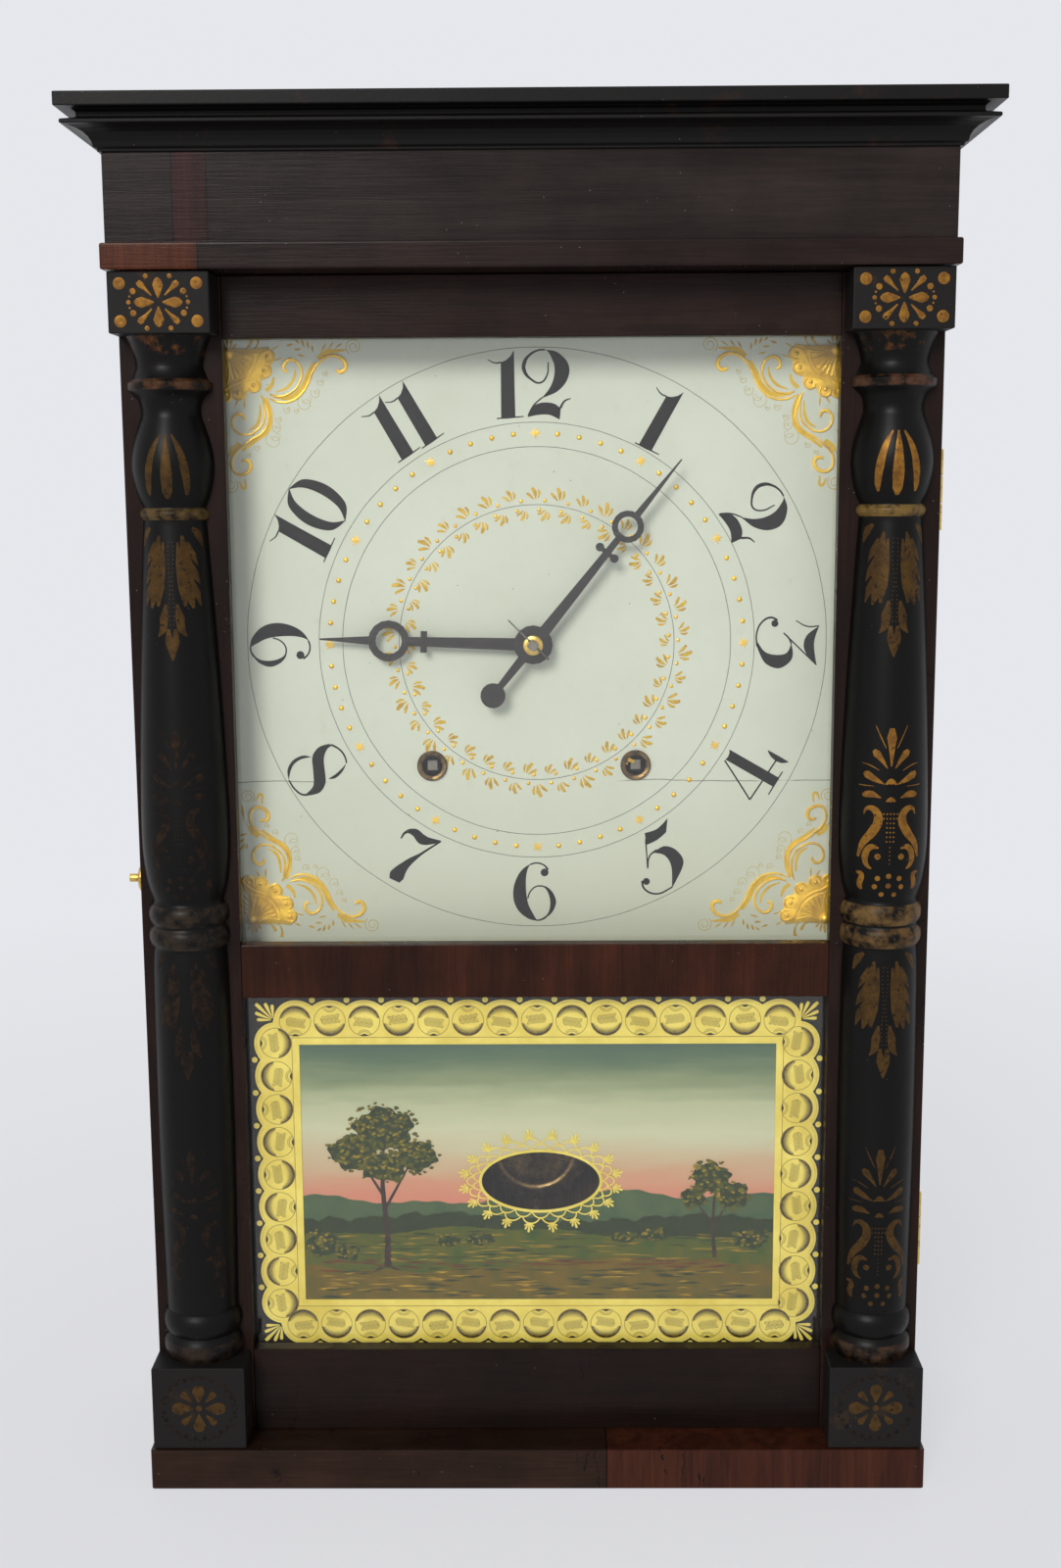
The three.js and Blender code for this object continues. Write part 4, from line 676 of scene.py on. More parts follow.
def repeatPiece(source, places):  # one mesh that holds the source's mesh at each place
    gathered = bmesh.new()
    for place in places:
        copy = source.data.copy()
        copy.transform(place)
        gathered.from_mesh(copy)
        bpy.data.meshes.remove(copy)
    gathered.to_mesh(source.data)
    gathered.free()
    return source


def inMetres(profile):
    return [tuple(value * mm for value in point) for point in profile]


def lathe(profile, centre, axis, steps):
    # profile is (radius, height) in metres; spun all round an axis through centre
    clearSelection()
    mesh = bpy.data.meshes.new("turning")
    if axis == "Z":
        points = [(centre[0] + r, centre[1], centre[2] + h) for r, h in profile]
        spin = (0, 0, 1)
    else:
        points = [(centre[0] + r, centre[1] + h, centre[2]) for r, h in profile]
        spin = (0, 1, 0)
    mesh.from_pydata(points, [(i, i + 1) for i in range(len(points) - 1)], [])
    piece = bpy.data.objects.new("turning", mesh)
    scene.collection.objects.link(piece)
    choose(piece)
    bpy.ops.object.mode_set(mode="EDIT")
    bpy.ops.mesh.select_all(action="SELECT")
    bpy.ops.mesh.spin(steps=steps, angle=2 * math.pi, center=centre, axis=spin)
    bpy.ops.mesh.select_all(action="SELECT")
    bpy.ops.mesh.remove_doubles(threshold=0.00001)
    bpy.ops.mesh.normals_make_consistent(inside=False)
    bpy.ops.object.mode_set(mode="OBJECT")
    return piece


# half columns
column = dict(foot=63.4, head=561.6, axisBehind=2.4, beadPower=0.6)


def bead(low, high, root, crown, count=9):
    return [(root + (crown - root) * math.sin(math.pi * i / (count - 1)) ** column["beadPower"],
        low + (high - low) * i / (count - 1)) for i in range(count)]


def swell(points, count=7):  # a smooth curve through (radius, height) points
    made = []
    for i in range(len(points) - 1):
        before, here = points[max(i - 1, 0)], points[i]
        after, beyond = points[i + 1], points[min(i + 2, len(points) - 1)]
        for j in range(count):
            t = j / count
            made.append(tuple(0.5 * (
                2 * here[k] + (after[k] - before[k]) * t
                + (2 * before[k] - 5 * here[k] + 4 * after[k] - beyond[k]) * t * t
                + (3 * here[k] - before[k] - 3 * after[k] + beyond[k]) * t ** 3) for k in (0, 1)))
    return made + [tuple(points[-1])]


def columnProfile():
    tall = column["head"] - column["foot"]
    made = [(0.0, 0.0), (18.4, 0.0)] + bead(0.2, 11.6, 18.4, 20.1) + bead(12.4, 25, 17.8, 19.8)
    made += swell([(18.1, 26), (18.3, 43), (19, 115), (18.7, 190), (18.1, 209)])
    made += bead(210.5, 220.5, 18, 19.9) + bead(221.5, 231.5, 18, 19.7)
    made += swell([(17.3, 233), (20.2, 246), (21.4, 270), (19.6, 330), (16.9, 385), (15.1, tall - 84)])
    made += bead(tall - 83, tall - 78.6, 15.2, 16.5)
    made += swell([(15, tall - 77.6), (17.6, tall - 71), (19.5, tall - 60), (18.4, tall - 49), (14.4, tall - 36)])
    made += swell([(14.2, tall - 33), (15.4, tall - 28.5), (18.8, tall - 25)], 4)
    made += [(19.9, tall - 24), (19.9, tall - 21), (18, tall - 19.5)]
    made += swell([(15.9, tall - 14), (16.1, tall - 11), (17.8, tall - 5), (19.8, tall - 0.2)], 5) + [(19.8, tall),
        (0.0, tall)]
    return made


columnShape = columnProfile()


def columnRadius(up):  # radius of the turning at a height above its foot, mm
    for (r0, h0), (r1, h1) in zip(columnShape, columnShape[1:]):
        if h0 <= up <= h1 and h1 > h0:
            return r0 + (r1 - r0) * (up - h0) / (h1 - h0)
    return 18.0


def makeColumn(side, sign):
    axis = (sign * pillarAcross * mm, doorFace + column["axisBehind"] * mm, column["foot"] * mm)
    piece = lathe(inMetres(columnShape), axis, "Z", 128)
    bpy.ops.object.mode_set(mode="EDIT")
    bpy.ops.mesh.select_all(action="SELECT")
    bpy.ops.mesh.bisect(plane_co=(0, doorFace, 0), plane_no=(0, 1, 0), use_fill=True, clear_outer=True)
    bpy.ops.object.mode_set(mode="OBJECT")
    finishPiece(piece, "turned_column_" + side, "door", "blackTurned" if side == "right" else "blackRubbed", 50)
    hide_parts("half_column_" + side)


def wrapOnColumn(piece, sign, relief, knee=0.3):
    # carries a drawing on (across, up) round the turning, across measured along the surface from its front line
    axisX, axisY = sign * pillarAcross * mm, doorFace + column["axisBehind"] * mm
    for vertex in piece.data.vertices:
        up = vertex.co.z / mm - column["foot"]
        radius = columnRadius(up)
        out = max(-vertex.co.y / mm, 0.0)
        reach = (radius + relief * out / (out + knee)) * mm
        turn = vertex.co.x / mm / radius
        vertex.co.x = axisX + reach * math.sin(turn)
        vertex.co.y = axisY - reach * math.cos(turn)


for side, sign in (("left", -1), ("right", 1)):
    makeColumn(side, sign)
print("columns turned")

# the two falls of cord, as plain rods; on the clock they grow shorter as their weights rise
def makeFall(name):
    low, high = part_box(name + "_cord")
    middle = [(a + b) / 2 for a, b in zip(low, high)]
    clearSelection()
    bpy.ops.mesh.primitive_cylinder_add(vertices=12, radius=(high[0] - low[0]) / 2, depth=high[2] - low[2],
        location=middle)
    piece = finishPiece(bpy.context.object, name + "_fall", "case", "flax")
    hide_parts(name + "_cord")
    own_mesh(piece)


for name in ("time", "strike"):
    makeFall(name)
print("cords hung")

# dial: numerals
numeralPlan = dict(radius=123.7, thick=0.09, hairRise=0.13,
    shifts={10: (-10.5, 6.5), 11: (-6.6, 6.6), 12: (-11.4, 6.9)})


def between(outer, inner):  # outline of a fat stroke from its two edges
    made = []
    for point in swell(outer, 6) + swell(inner, 6)[::-1]:
        if not made or math.dist(point, made[-1]) > 0.05:
            made.append(point)
    return made if math.dist(made[0], made[-1]) > 0.05 else made[:-1]


ball = lambda across, up, half: ellipse((across, up), half, half, 20)
digit = {  # filled outlines and hairlines in mm, from the middle of each figure
    "0": dict(
        fills=[between([(0, 15.6), (7.5, 11.5), (10.6, 0), (7.5, -11.5), (0, -15.6)],
            [(0, 15.2), (4, 9.5), (5.4, 0), (4, -9.5), (0, -15.2)])],
        hair=[]),
    "1": dict(
        fills=[[(-3.4, -15.6), (3.4, -15.6), (3.1, 0), (2.9, 16.0), (1.3, 13.2), (-0.9, 11.3), (-3.4, 10.3)]],
        hair=[[(-3.2, 10.3, 0.4), (-6.2, 10.1, 0.32), (-9.6, 11.6, 0.22)],
            [(-5.5, -15.9, 0.3), (0.8, -15.5, 0.4), (7.4, -15.0, 0.25)]]),
    "2": dict(
        fills=[
            between([(-0.6, 16.1), (5, 15), (9.7, 10.8), (11, 6), (9.2, 0.7), (5, -3.5), (0.2, -5.6), (-3, -6.9)],
                [(-0.6, 16.1), (1.3, 14.5), (3.7, 9.2), (3.7, 3.9), (1.8, -1.4), (-1.9, -6.1)]),
            between([(-9, -15.3), (-7.2, -10.9), (-2.4, -8.6), (3.4, -9), (6.8, -11.4)],
                [(-9, -15.3), (-4, -14.3), (1.3, -14.3), (6.3, -16.6)])],
        hair=[
            [(0.95, 10.3, 0.3), (0.2, 3.9, 0.4), (-3, 0.7, 0.45), (-7.2, 2.3, 0.5), (-10.6, 6.6, 0.9),
                (-10.4, 10.3, 0.9), (-8.3, 13.4, 0.6), (-4, 15.8, 0.45), (-0.6, 16.1, 0.4)],
            [(-1.9, -6.1, 0.35), (-6.1, -9.8, 0.35), (-8.8, -14.6, 0.35)],
            [(6.6, -11.2, 0.6), (8.7, -7.9, 0.45), (11.6, -6.7, 0.25)]]),
    "3": dict(
        fills=[
            between([(-8, 15.3), (0.4, 13), (11, 14.4)], [(-8, 15.3), (-3.5, 9.5), (1.7, 8), (6.5, 10), (11, 14.4)]),
            between([(0.4, 2), (5.7, 2.8), (9.7, 1.1), (12.6, -4.3), (9.7, -10.9), (1.7, -14.9)],
                [(0.4, 2), (5.1, -0.3), (6, -5.6), (4.4, -10.9), (-0.9, -14.9)]),
            ball(-9.3, -6.2, 1.7)],
        hair=[
            [(-10.6, 4, 0.25), (-7.8, 9.7, 0.35), (-8, 15.3, 0.3)],
            [(11, 14.4, 0.35), (3, 6.1, 0.35), (-4.7, -1.9, 0.35)],
            [(-4.7, -1.9, 0.35), (-2, 0.8, 0.4), (0.8, 2, 0.4)],
            [(1.7, -14.8, 0.4), (-4.9, -14.9, 0.4), (-10.2, -12.2, 0.45), (-12.2, -8.2, 0.5), (-10.9, -4.9, 0.5)]]),
    "4": dict(
        fills=[
            [(-2.65, -14.1), (2.65, -14.1), (2.65, 14.2), (1, 13.2), (-1, 12.9), (-2.65, 13.4)],
            between([(11.8, -2.1), (11.9, -8), (11.8, -14.4)],
                [(11.8, -2.1), (9.9, -4.8), (9.1, -8.4), (9.7, -11.8), (11.8, -14.4)])],
        hair=[
            [(-3.2, 13.4, 0.4), (-8.5, 3.0, 0.4), (-13.9, -7.3, 0.4)],
            [(-13.9, -7.3, 0.4), (-3, -7.9, 0.4), (9.2, -8.5, 0.4)],
            [(-7.2, -14, 0.3), (0, -14, 0.4), (6.2, -14.1, 0.3)]]),
    "5": dict(
        fills=[
            between([(0.3, 14.9), (6.5, 13.6), (13.8, 15.6)], [(-1.7, 9.2), (4, 8.8), (9.7, 9.9)]),
            between([(-0.6, 4.2), (5.6, 4.2), (9.7, -0.8), (9.3, -8.2), (-1.3, -15.9)],
                [(-0.6, 3.9), (3.3, 0.1), (3.4, -6.4), (-1.3, -15.4)]),
            ball(-11.1, -6.8, 1.75)],
        hair=[
            [(-0.8, 12, 0.4), (-4, 5.3, 0.35), (-7.3, -1.4, 0.35)],
            [(-7.3, -1.4, 0.35), (-3.2, 3.6, 0.4), (1.4, 4.5, 0.5)],
            [(-1.2, -15.7, 0.4), (-2.8, -15.8, 0.4), (-9.9, -14.8, 0.45), (-13.8, -9.5, 0.5), (-12.9, -5.4, 0.5)]]),
    "7": dict(
        fills=[],
        hair=[
            [(-9.2, 7.2, 0.4), (-8.4, 11.4, 0.7), (-4.6, 13.2, 2.0), (0.4, 12.0, 2.6), (5.4, 13.8, 1.4),
                (8.8, 15.8, 0.4)],
            [(8.8, 15.8, 0.4), (3.4, 5.4, 0.6), (-0.6, -3.4, 2.0), (-1.8, -10.2, 3.8), (-1.6, -13.0, 2.8)]]),
    "8": dict(
        fills=[
            between([(-8.2, 11.9), (-9.2, 6.6), (-6.7, 1.5), (-0.3, -1.9), (5.9, -5.7), (7.6, -11.5)],
                [(-6.5, 13.4), (-6.4, 10), (-3.2, 6), (2.6, 3.1), (7.7, 0.3), (10.3, -4.7), (8.4, -11.2)]),
            between([(4.2, 14.6), (7, 10.6), (8, 5.9), (6.6, 2.5)],
                [(4.2, 14.6), (5.4, 11.5), (6.4, 6.8), (6.6, 2.5)]),
            between([(-6.9, 1.1), (-9.7, -2.3), (-10, -8), (-7.2, -12.6), (-2.6, -14.6)],
                [(-6.9, 1.1), (-8.5, -3.9), (-8.1, -8.3), (-5.9, -11.7), (-2.6, -14.6)])],
        hair=[[(-7.2, 12.8, 0.5), (-2.5, 15.2, 0.45), (2.1, 15.3, 0.45), (4.4, 14.5, 0.4)],
            [(-2.6, -14.6, 0.4), (2.5, -14.4, 0.45), (6.7, -12.7, 0.5), (8, -11.0, 0.5)]]),
    "9": dict(
        fills=[
            between([(-0.9, 14.7), (3.4, 13.5), (8.1, 9.5), (10.5, 3.7), (10.3, -2.8), (8.1, -8.6), (5.2, -12.2),
                (1.6, -14.4)], [(-0.9, 14.2), (0.9, 10.9), (3, 6.6), (4.1, 0.8), (4.3, -6.4), (3.4, -11.5),
                (2, -14)]),
            between([(-5.7, 13.1), (-8.9, 10.2), (-10.7, 5.1), (-8.9, 0.1), (-5.7, -2.8), (-3.1, -3)],
                [(-2.4, 14.2), (-6, 11.7), (-7.6, 8), (-7.5, 3), (-5.7, -1.4), (-3.1, -3)]),
            ball(-5, -9.9, 1.95)],
        hair=[
            [(2, -14.0, 0.4), (-0.9, -14.7, 0.4), (-4.6, -13.7, 0.4), (-6.8, -11.3, 0.5)],
            [(3.4, 3.3, 0.35), (2.3, 0.1, 0.35), (-0.9, -2.8, 0.35), (-4.2, -3, 0.4)],
            [(-0.9, 14.5, 0.4), (-3.1, 14.2, 0.45), (-5.7, 13.0, 0.4)]]),
}
digit["0"]["fills"].append(turned(digit["0"]["fills"][0], math.pi))
digit["6"] = dict(fills=[turned(line, math.pi) for line in digit["9"]["fills"]],
    hair=[turned(line, math.pi) for line in digit["9"]["hair"]])

for hour in range(1, 13):
    clock = math.radians(30 * hour)
    # the lower figures have their heads inward
    lean = -clock if hour in (9, 10, 11, 12, 1, 2, 3) else math.pi - clock
    spot = (numeralPlan["radius"] * math.sin(clock), dialUp + numeralPlan["radius"] * math.cos(clock))
    pieces, strokes = [], []
    for mark, shift in zip(str(hour), numeralPlan["shifts"].get(hour, (0,))):
        seat = lambda line: turned([(p[0] + shift,) + tuple(p[1:]) for p in line], lean, *spot)
        pieces += [sheetShape([seat(line)], dialFace - numeralPlan["thick"] * mm, numeralPlan["thick"])
            for line in digit[mark]["fills"]]
        strokes += [seat(line) for line in digit[mark]["hair"]]
    hair = drawStrokes(strokes, turns=6, sides=2)
    pressFlat(hair, dialFace, numeralPlan["hairRise"])
    finishPiece(joinPieces(pieces + [hair]), "numeral_" + str(hour), "case", "ink", 60)
print("numerals painted")

# dial: rings, dots, stars and wreath
dialPlan = dict(middle=1.6, rings=(141.0, 106.0, 94.5, 67.0), ringHalf=0.2, dotRing=100.8, dots=60, dotHalf=1.25,
    starHalf=2.9, sprigs=38)
dialMiddle = (dialPlan["middle"], dialUp)
inkStrokes("dial_rings", [], [circle(r, dialPlan["ringHalf"], dialMiddle, 32) for r in dialPlan["rings"]],
    relief=0.05, knee=0.1, key="thinInk", turns=4)


def makeDots(name, spots, half, face=dialFace, rise=0.55):  # gilt half balls on the dial
    clearSelection()
    bpy.ops.mesh.primitive_uv_sphere_add(segments=12, ring_count=8, radius=half * mm, location=(0, 0, 0))
    piece = bpy.context.object
    bpy.ops.object.mode_set(mode="EDIT")
    bpy.ops.mesh.bisect(plane_co=(0, 0, 0), plane_no=(0, 1, 0), use_fill=True, clear_outer=True)
    bpy.ops.mesh.select_all(action="SELECT")
    bpy.ops.transform.resize(value=(1, rise, 1), center_override=(0, 0, 0))
    bpy.ops.object.mode_set(mode="OBJECT")
    repeatPiece(piece, [Matrix.Translation((x * mm, face, z * mm)) @ Matrix.Scale(size, 4) for x, z, size in spots])
    return finishPiece(piece, name, "case", "gilt", 60)


ringSpot = lambda radius, degrees: (dialMiddle[0] + radius * math.sin(math.radians(degrees)),
    dialMiddle[1] + radius * math.cos(math.radians(degrees)))
makeDots("gilt_dots", [ringSpot(dialPlan["dotRing"], 6 * i) + (1.0,) for i in range(dialPlan["dots"]) if i % 5],
    dialPlan["dotHalf"])
stars = []
for hour in range(12):
    spot = ringSpot(dialPlan["dotRing"], 30 * hour)
    for ray in range(8):
        reach = dialPlan["starHalf"] * (1.0 if ray % 2 == 0 else 0.8)
        stars.append(turned([(0.2, 0, 0.5), (reach * 0.55, 0, 0.36), (reach, 0, 0.08)],
            math.radians(45 * ray + 7 * hour), *spot))
inkStrokes("gilt_stars", stars, relief=0.3, knee=0.15, key="gilt", turns=2)

sprig = [[(-0.7, 0, 0.12), (-1.4, 1.7, 0.62), (-2.4, 3.2, 0.4)], [(0, 0, 0.15), (0.5, 2.4, 0.85), (0.1, 4.4, 0.55)],
    [(0.8, 0, 0.12), (1.9, 1.5, 0.55), (2.1, 2.9, 0.3)]]
wreath, wreathDots = [], []
for i in range(dialPlan["sprigs"]):
    step = 360 / dialPlan["sprigs"]
    vary = 1 + 0.12 * math.sin(i * 2.7)
    for radius, inward, offset in ((69.6, False, 0.0), (64.2, True, 0.5)):
        degrees = (i + offset) * step
        spot = ringSpot(radius, degrees)
        turn = -math.radians(degrees) + (math.pi if inward else 0) + (-0.5 if inward else 0.35)
        wreath += [turned(leaf, turn, *spot, size=vary * (1.22 if inward else 1.34), flip=inward) for leaf in sprig]
    wreathDots.append(ringSpot(69.0, i * step + 3.6) + (0.9,))
    wreathDots.append(ringSpot(64.6, (i + 0.5) * step - 3.4) + (0.9,))
inkStrokes("painted_wreath", wreath, relief=0.12, knee=0.2, key="giltFlat", turns=2)
makeDots("wreath_dots", wreathDots, 1.05)
print("dial rings and wreath painted")

# raised gilt corners, drawn in mm from the corner of the dial's opening
cornerPlan = dict(low_left=(147.0, 269.8), low_right=(150.4, 269.5), top_left=(150.6, 565.8),
    top_right=(150.4, 565.8), rise=1.1)
fanPlan = dict(boss=(5.7, 9.9), ribs=7, arc=14.6, lobeReach=19.6, lobeHalf=2.6, lobes=(5, 25, 51, 75, 94))


def fromBoss(reach, degrees, *half):
    return roundFrom(fanPlan["boss"], reach, math.radians(degrees), *half)


def curl(centre, radius, start, sweep, half=0.2, count=10):  # a line that winds in on itself
    made = []
    for i in range(count):
        share = i / (count - 1)
        angle = math.radians(start + sweep * share)
        made.append(roundFrom(centre, radius * (1 - 0.78 * share), angle, half * (1 - 0.3 * share)))
    return made


def dab(x0, z0, x1, z1, half):  # a leaf put down with one touch of the brush, fat towards its second end
    return [(x0, z0, 0.15), (x0 * 0.45 + x1 * 0.55, z0 * 0.45 + z1 * 0.55, half), (x1, z1, half * 0.4)]


scrollLines = [
    [(21.3, 29.6, 0.4), (23.4, 34.2, 0.55), (24.4, 41.9, 0.6), (20.8, 47.5, 0.6), (16.2, 50.1, 0.6),
        (10.6, 54.2, 0.6), (7.0, 58.3, 0.6), (6.2, 62.9, 0.6), (8.0, 66.2, 0.7), (12.1, 66.5, 0.85),
        (15.2, 63.4, 1.0), (14.2, 60.3, 0.95), (11.1, 60.4, 0.6)],
    [(21.8, 30.1, 0.4), (22.8, 36.8, 0.5), (22.0, 41.9, 0.5), (19.0, 45.6, 0.55), (13.6, 48.0, 0.55),
        (9.0, 46.5, 0.6), (7.0, 42.4, 0.65), (8.5, 38.8, 0.75), (11.6, 38.4, 0.8), (13.0, 40.9, 0.6)],
    [(25.4, 31.1, 0.4), (29.5, 32.7, 0.55), (35.7, 32.2, 0.6), (40.8, 28.6, 0.6), (43.8, 24.0, 0.6),
        (45.9, 18.9, 0.6), (50.0, 13.7, 0.65), (55.1, 11.2, 0.75), (60.2, 12.7, 0.9), (62.0, 16.3, 1.0),
        (59.7, 18.9, 0.95), (57.4, 18.1, 0.8)],
    [(25.4, 29.1, 0.4), (29.5, 30.1, 0.5), (35.7, 28.1, 0.5), (39.8, 23.5, 0.55), (40.8, 18.3, 0.6),
        (38.7, 14.2, 0.65), (35.1, 13.0, 0.8), (32.6, 15.3, 0.8), (32.6, 17.8, 0.75), (34.3, 18.5, 0.6)],
]
ridges = [fromBoss(20.6, -3, 0.5), fromBoss(17.4, -1, 0.5),
    fromBoss(15.2, 7, 0.5)] + [fromBoss(fanPlan["arc"], a, 0.5) for a in range(16, 80, 9)] + [fromBoss(15.2, 86, 0.5),
    fromBoss(17.6, 97, 0.5), fromBoss(20.6, 103, 0.5)]
fanLines = [ridges, [fromBoss(fanPlan["arc"] - 1.9, a, 0.35) for a in range(5, 92, 9)],
    [fromBoss(3.4, 92, 0.4), fromBoss(9, 85, 0.5), fromBoss(14, 91, 0.4)],
    [fromBoss(3.4, -10, 0.4), fromBoss(9, 5, 0.5), fromBoss(14, -1, 0.4)]]
for k in range(fanPlan["ribs"]):
    fanLines.append([fromBoss(4.0, 9 + 12 * k, 0.2), fromBoss(8.5, 9 + 12 * k, 0.45),
        fromBoss(12.2, 9 + 12 * k, 0.8)])
for lobe in fanPlan["lobes"]:
    seat = fromBoss(fanPlan["lobeReach"], lobe)
    fanLines.append([roundFrom(seat, fanPlan["lobeHalf"], math.radians(lobe + a), 0.48)
        for a in range(-115, 116, 23)])
cornerBeads = [fanPlan["boss"] + (1.75,)] + [fromBoss(fanPlan["lobeReach"] - 0.6, lobe, 0.72)
    for lobe in fanPlan["lobes"]]
field = []
for degrees in range(-8, 106, 3):
    away = min(abs(degrees - lobe) for lobe in fanPlan["lobes"])
    field.append(fromBoss(19.9 + 2.6 * math.sqrt(max(0.0, 1 - (away / 10) ** 2)), degrees))
field += [fromBoss(16, 103), fromBoss(11, 96), fromBoss(4.5, 112), fromBoss(3.2, 150), fromBoss(3.2, 200),
    fromBoss(3.2, 250), fromBoss(4.5, -30), fromBoss(11, -10), fromBoss(16, -8)]
painted = [  # soft gold beside the raised lines
    [(23.4, 30.5, 0.8), (25.4, 38.5, 1.2), (24.0, 45.8, 1.2), (17.6, 50.9, 1.0), (11.6, 55.4, 0.7)],
    [(10.4, 52.2, 1.3), (7.0, 54.8, 1.5), (5.6, 57.4, 1.0)],
    [(27.0, 29.9, 0.8), (34.5, 30.6, 1.3), (40.6, 26.4, 1.3), (44.0, 19.4, 1.1), (46.8, 14.4, 0.8)],
    [(48.6, 12.4, 1.0), (52.6, 9.6, 1.5), (57.4, 9.0, 1.0), (62.0, 8.6, 0.4)],
    [(14.6, 46.0, 0.3), (18.6, 43.4, 0.9), (20.4, 38.8, 0.8), (20.6, 33.6, 0.4)],
    [(28.4, 28.0, 0.3), (33.6, 26.0, 0.8), (37.0, 21.8, 0.8), (38.0, 17.6, 0.4)],
    [(23.6, 27.4, 1.2), (26.4, 24.6, 1.0), (27.6, 21.0, 0.5)],
    [(9.4, 70.0, 0.4), (11.8, 73.4, 0.9), (12.4, 68.6, 0.4)],
]
curls = [curl((5.2, 72.1), 3.7, -40, 640, 0.26, 22), curl((65.9, 7.1), 3.9, 130, 640, 0.26, 22)]
for x, z, r in ((26.9, 50.6, 4.2), (28.5, 45.0, 2.5), (29.4, 41.0, 1.7), (42.3, 33.2, 4.0), (47.4, 28.6, 2.7),
        (50.0, 23.5, 1.9), (52.2, 19.6, 1.4), (18.8, 54.2, 1.7), (14.6, 57.6, 1.3), (33.6, 36.4, 1.9),
        (38.2, 36.8, 1.3)):
    curls.append(curl((x, z), r, 215, -400, 0.17, 14))
    curls.append(curl((x + r * 0.3, z - r * 0.5), r * 0.7, 180, -300, 0.14, 10))
dabs = [
    dab(3.1, 60.3, 2.4, 68.0, 0.8), dab(6.4, 55.2, 3.1, 60.3, 0.25), dab(4.4, 53.7, 0.9, 52.6, 0.75),
    dab(3.4, 51.1, 0.5, 49.1, 0.75), dab(3.1, 49.1, 2.4, 45.8, 0.7), dab(1.9, 47.5, 0.7, 45.0, 0.6),
    dab(4.4, 48.8, 4.0, 45.8, 0.6),
    dab(37.2, 5.6, 34.0, 6.6, 0.7), dab(40.8, 8.1, 37.6, 8.2, 0.7), dab(40.3, 5.5, 38.2, 3.9, 0.65),
    dab(42.3, 7.1, 41.2, 3.9, 0.75), dab(44.4, 7.6, 43.8, 4.4, 0.75), dab(46.4, 9.6, 46.1, 6.4, 0.65),
    dab(42.8, 11.7, 39.2, 10.7, 0.6),
    dab(5.7, 17.3, 1.6, 22.4, 0.8), dab(5.4, 15.3, 0.9, 19.9, 0.8), dab(5.2, 13.2, 1.1, 17.0, 0.8),
    dab(4.9, 11.7, 1.6, 14.0, 0.7),
    dab(5.0, 7.6, 3.2, 4.0, 0.85), dab(6.0, 7.2, 5.4, 2.4, 0.9), dab(7.0, 7.4, 8.0, 3.2, 0.85),
    dab(7.9, 7.9, 10.2, 5.2, 0.8),
    [(10.0, 8.6, 0.25), (14.7, 7.6, 0.4), (17.2, 4.5, 1.0), (17.4, 3.6, 0.4)],
    [(13.6, 8.6, 0.25), (18.8, 7.6, 0.35), (20.6, 3.0, 0.7), (20.2, 0.9, 1.1)],
    dab(50.4, 9.2, 52.6, 5.6, 0.5), dab(53.6, 8.4, 56.2, 5.0, 0.5), dab(57.0, 7.8, 60.4, 5.4, 0.5),
    dab(11.0, 30.4, 8.4, 34.6, 0.6), dab(13.0, 31.0, 13.2, 35.6, 0.6), dab(27.6, 13.4, 31.4, 12.0, 0.5),
    dab(26.6, 8.4, 30.0, 6.6, 0.5),
]


def atCorner(points, corner):  # to places on the dial
    across, up = cornerPlan[corner]
    right, top = corner.endswith("right"), corner.startswith("top")
    return [((across - p[0]) * (1 if right else -1), (up - p[1]) if top else (up + p[1])) + tuple(p[2:])
        for p in points]


for corner in ("low_left", "low_right", "top_left", "top_right"):
    cutSheet("gesso_field_" + corner, [atCorner(field, corner)], dialFace - 0.5 * mm, 0.5, "case", "gilt", edge=0.12)
    inkStrokes("gesso_scrolls_" + corner, [atCorner(line, corner) for line in scrollLines], relief=cornerPlan["rise"],
        knee=0.35, key="gilt", turns=5, sides=2)
    inkStrokes("gesso_fan_" + corner, [atCorner(line, corner) for line in fanLines], face=dialFace - 0.4 * mm,
        relief=cornerPlan["rise"], knee=0.35, key="gilt", turns=3, sides=2)
    makeDots("gesso_beads_" + corner, atCorner(cornerBeads, corner), 1.5, rise=0.9, face=dialFace - 0.3 * mm)
    inkStrokes("gold_shading_" + corner, [atCorner(line, corner) for line in painted], relief=0.06, knee=0.2,
        key="goldShade", turns=4)
    inkStrokes("gold_leaves_" + corner, [atCorner(line, corner) for line in dabs], relief=0.09, knee=0.2,
        key="giltFlat", turns=4)
    inkStrokes("gold_curls_" + corner, [atCorner(line, corner) for line in curls], relief=0.05, knee=0.2,
        key="goldThin", turns=3)
print("gesso corners raised")

# dial: collets round the winding holes, washer and pin on the hands
colletPlan = dict(across=50.1, up=357.0,
    profile=[(5.0, 0.4), (5.0, -1.1), (5.5, -1.5), (6.9, -1.5), (7.4, -1.0), (7.5, 0.0), (6.8, 0.0), (6.8, 0.4),
        (5.0, 0.4)])
washerProfile = [(1.6, 0.0), (1.6, -1.0), (2.4, -1.25), (4.1, -1.25), (4.7, -0.9), (4.8, 0.0), (1.6, 0.0)]
pinPlan = dict(proud=2.3, line=[(-12.0, 12.5, 0.35), (-2, 2.6, 0.5), (7.5, -6.6, 0.65)])
for side, sign in (("left", -1), ("right", 1)):
    place = (sign * colletPlan["across"] * mm, dialFace, colletPlan["up"] * mm)
    finishPiece(lathe(inMetres(colletPlan["profile"]), place, "Y", 48), "winding_collet_" + side, "case", "darkBrass",
        40)
finishPiece(lathe(inMetres(washerProfile), (0, handFace, dialUp * mm), "Y", 40), "hand_washer", "minute", "brass", 40)
pin = drawStrokes([pinPlan["line"]], turns=3, sides=3)
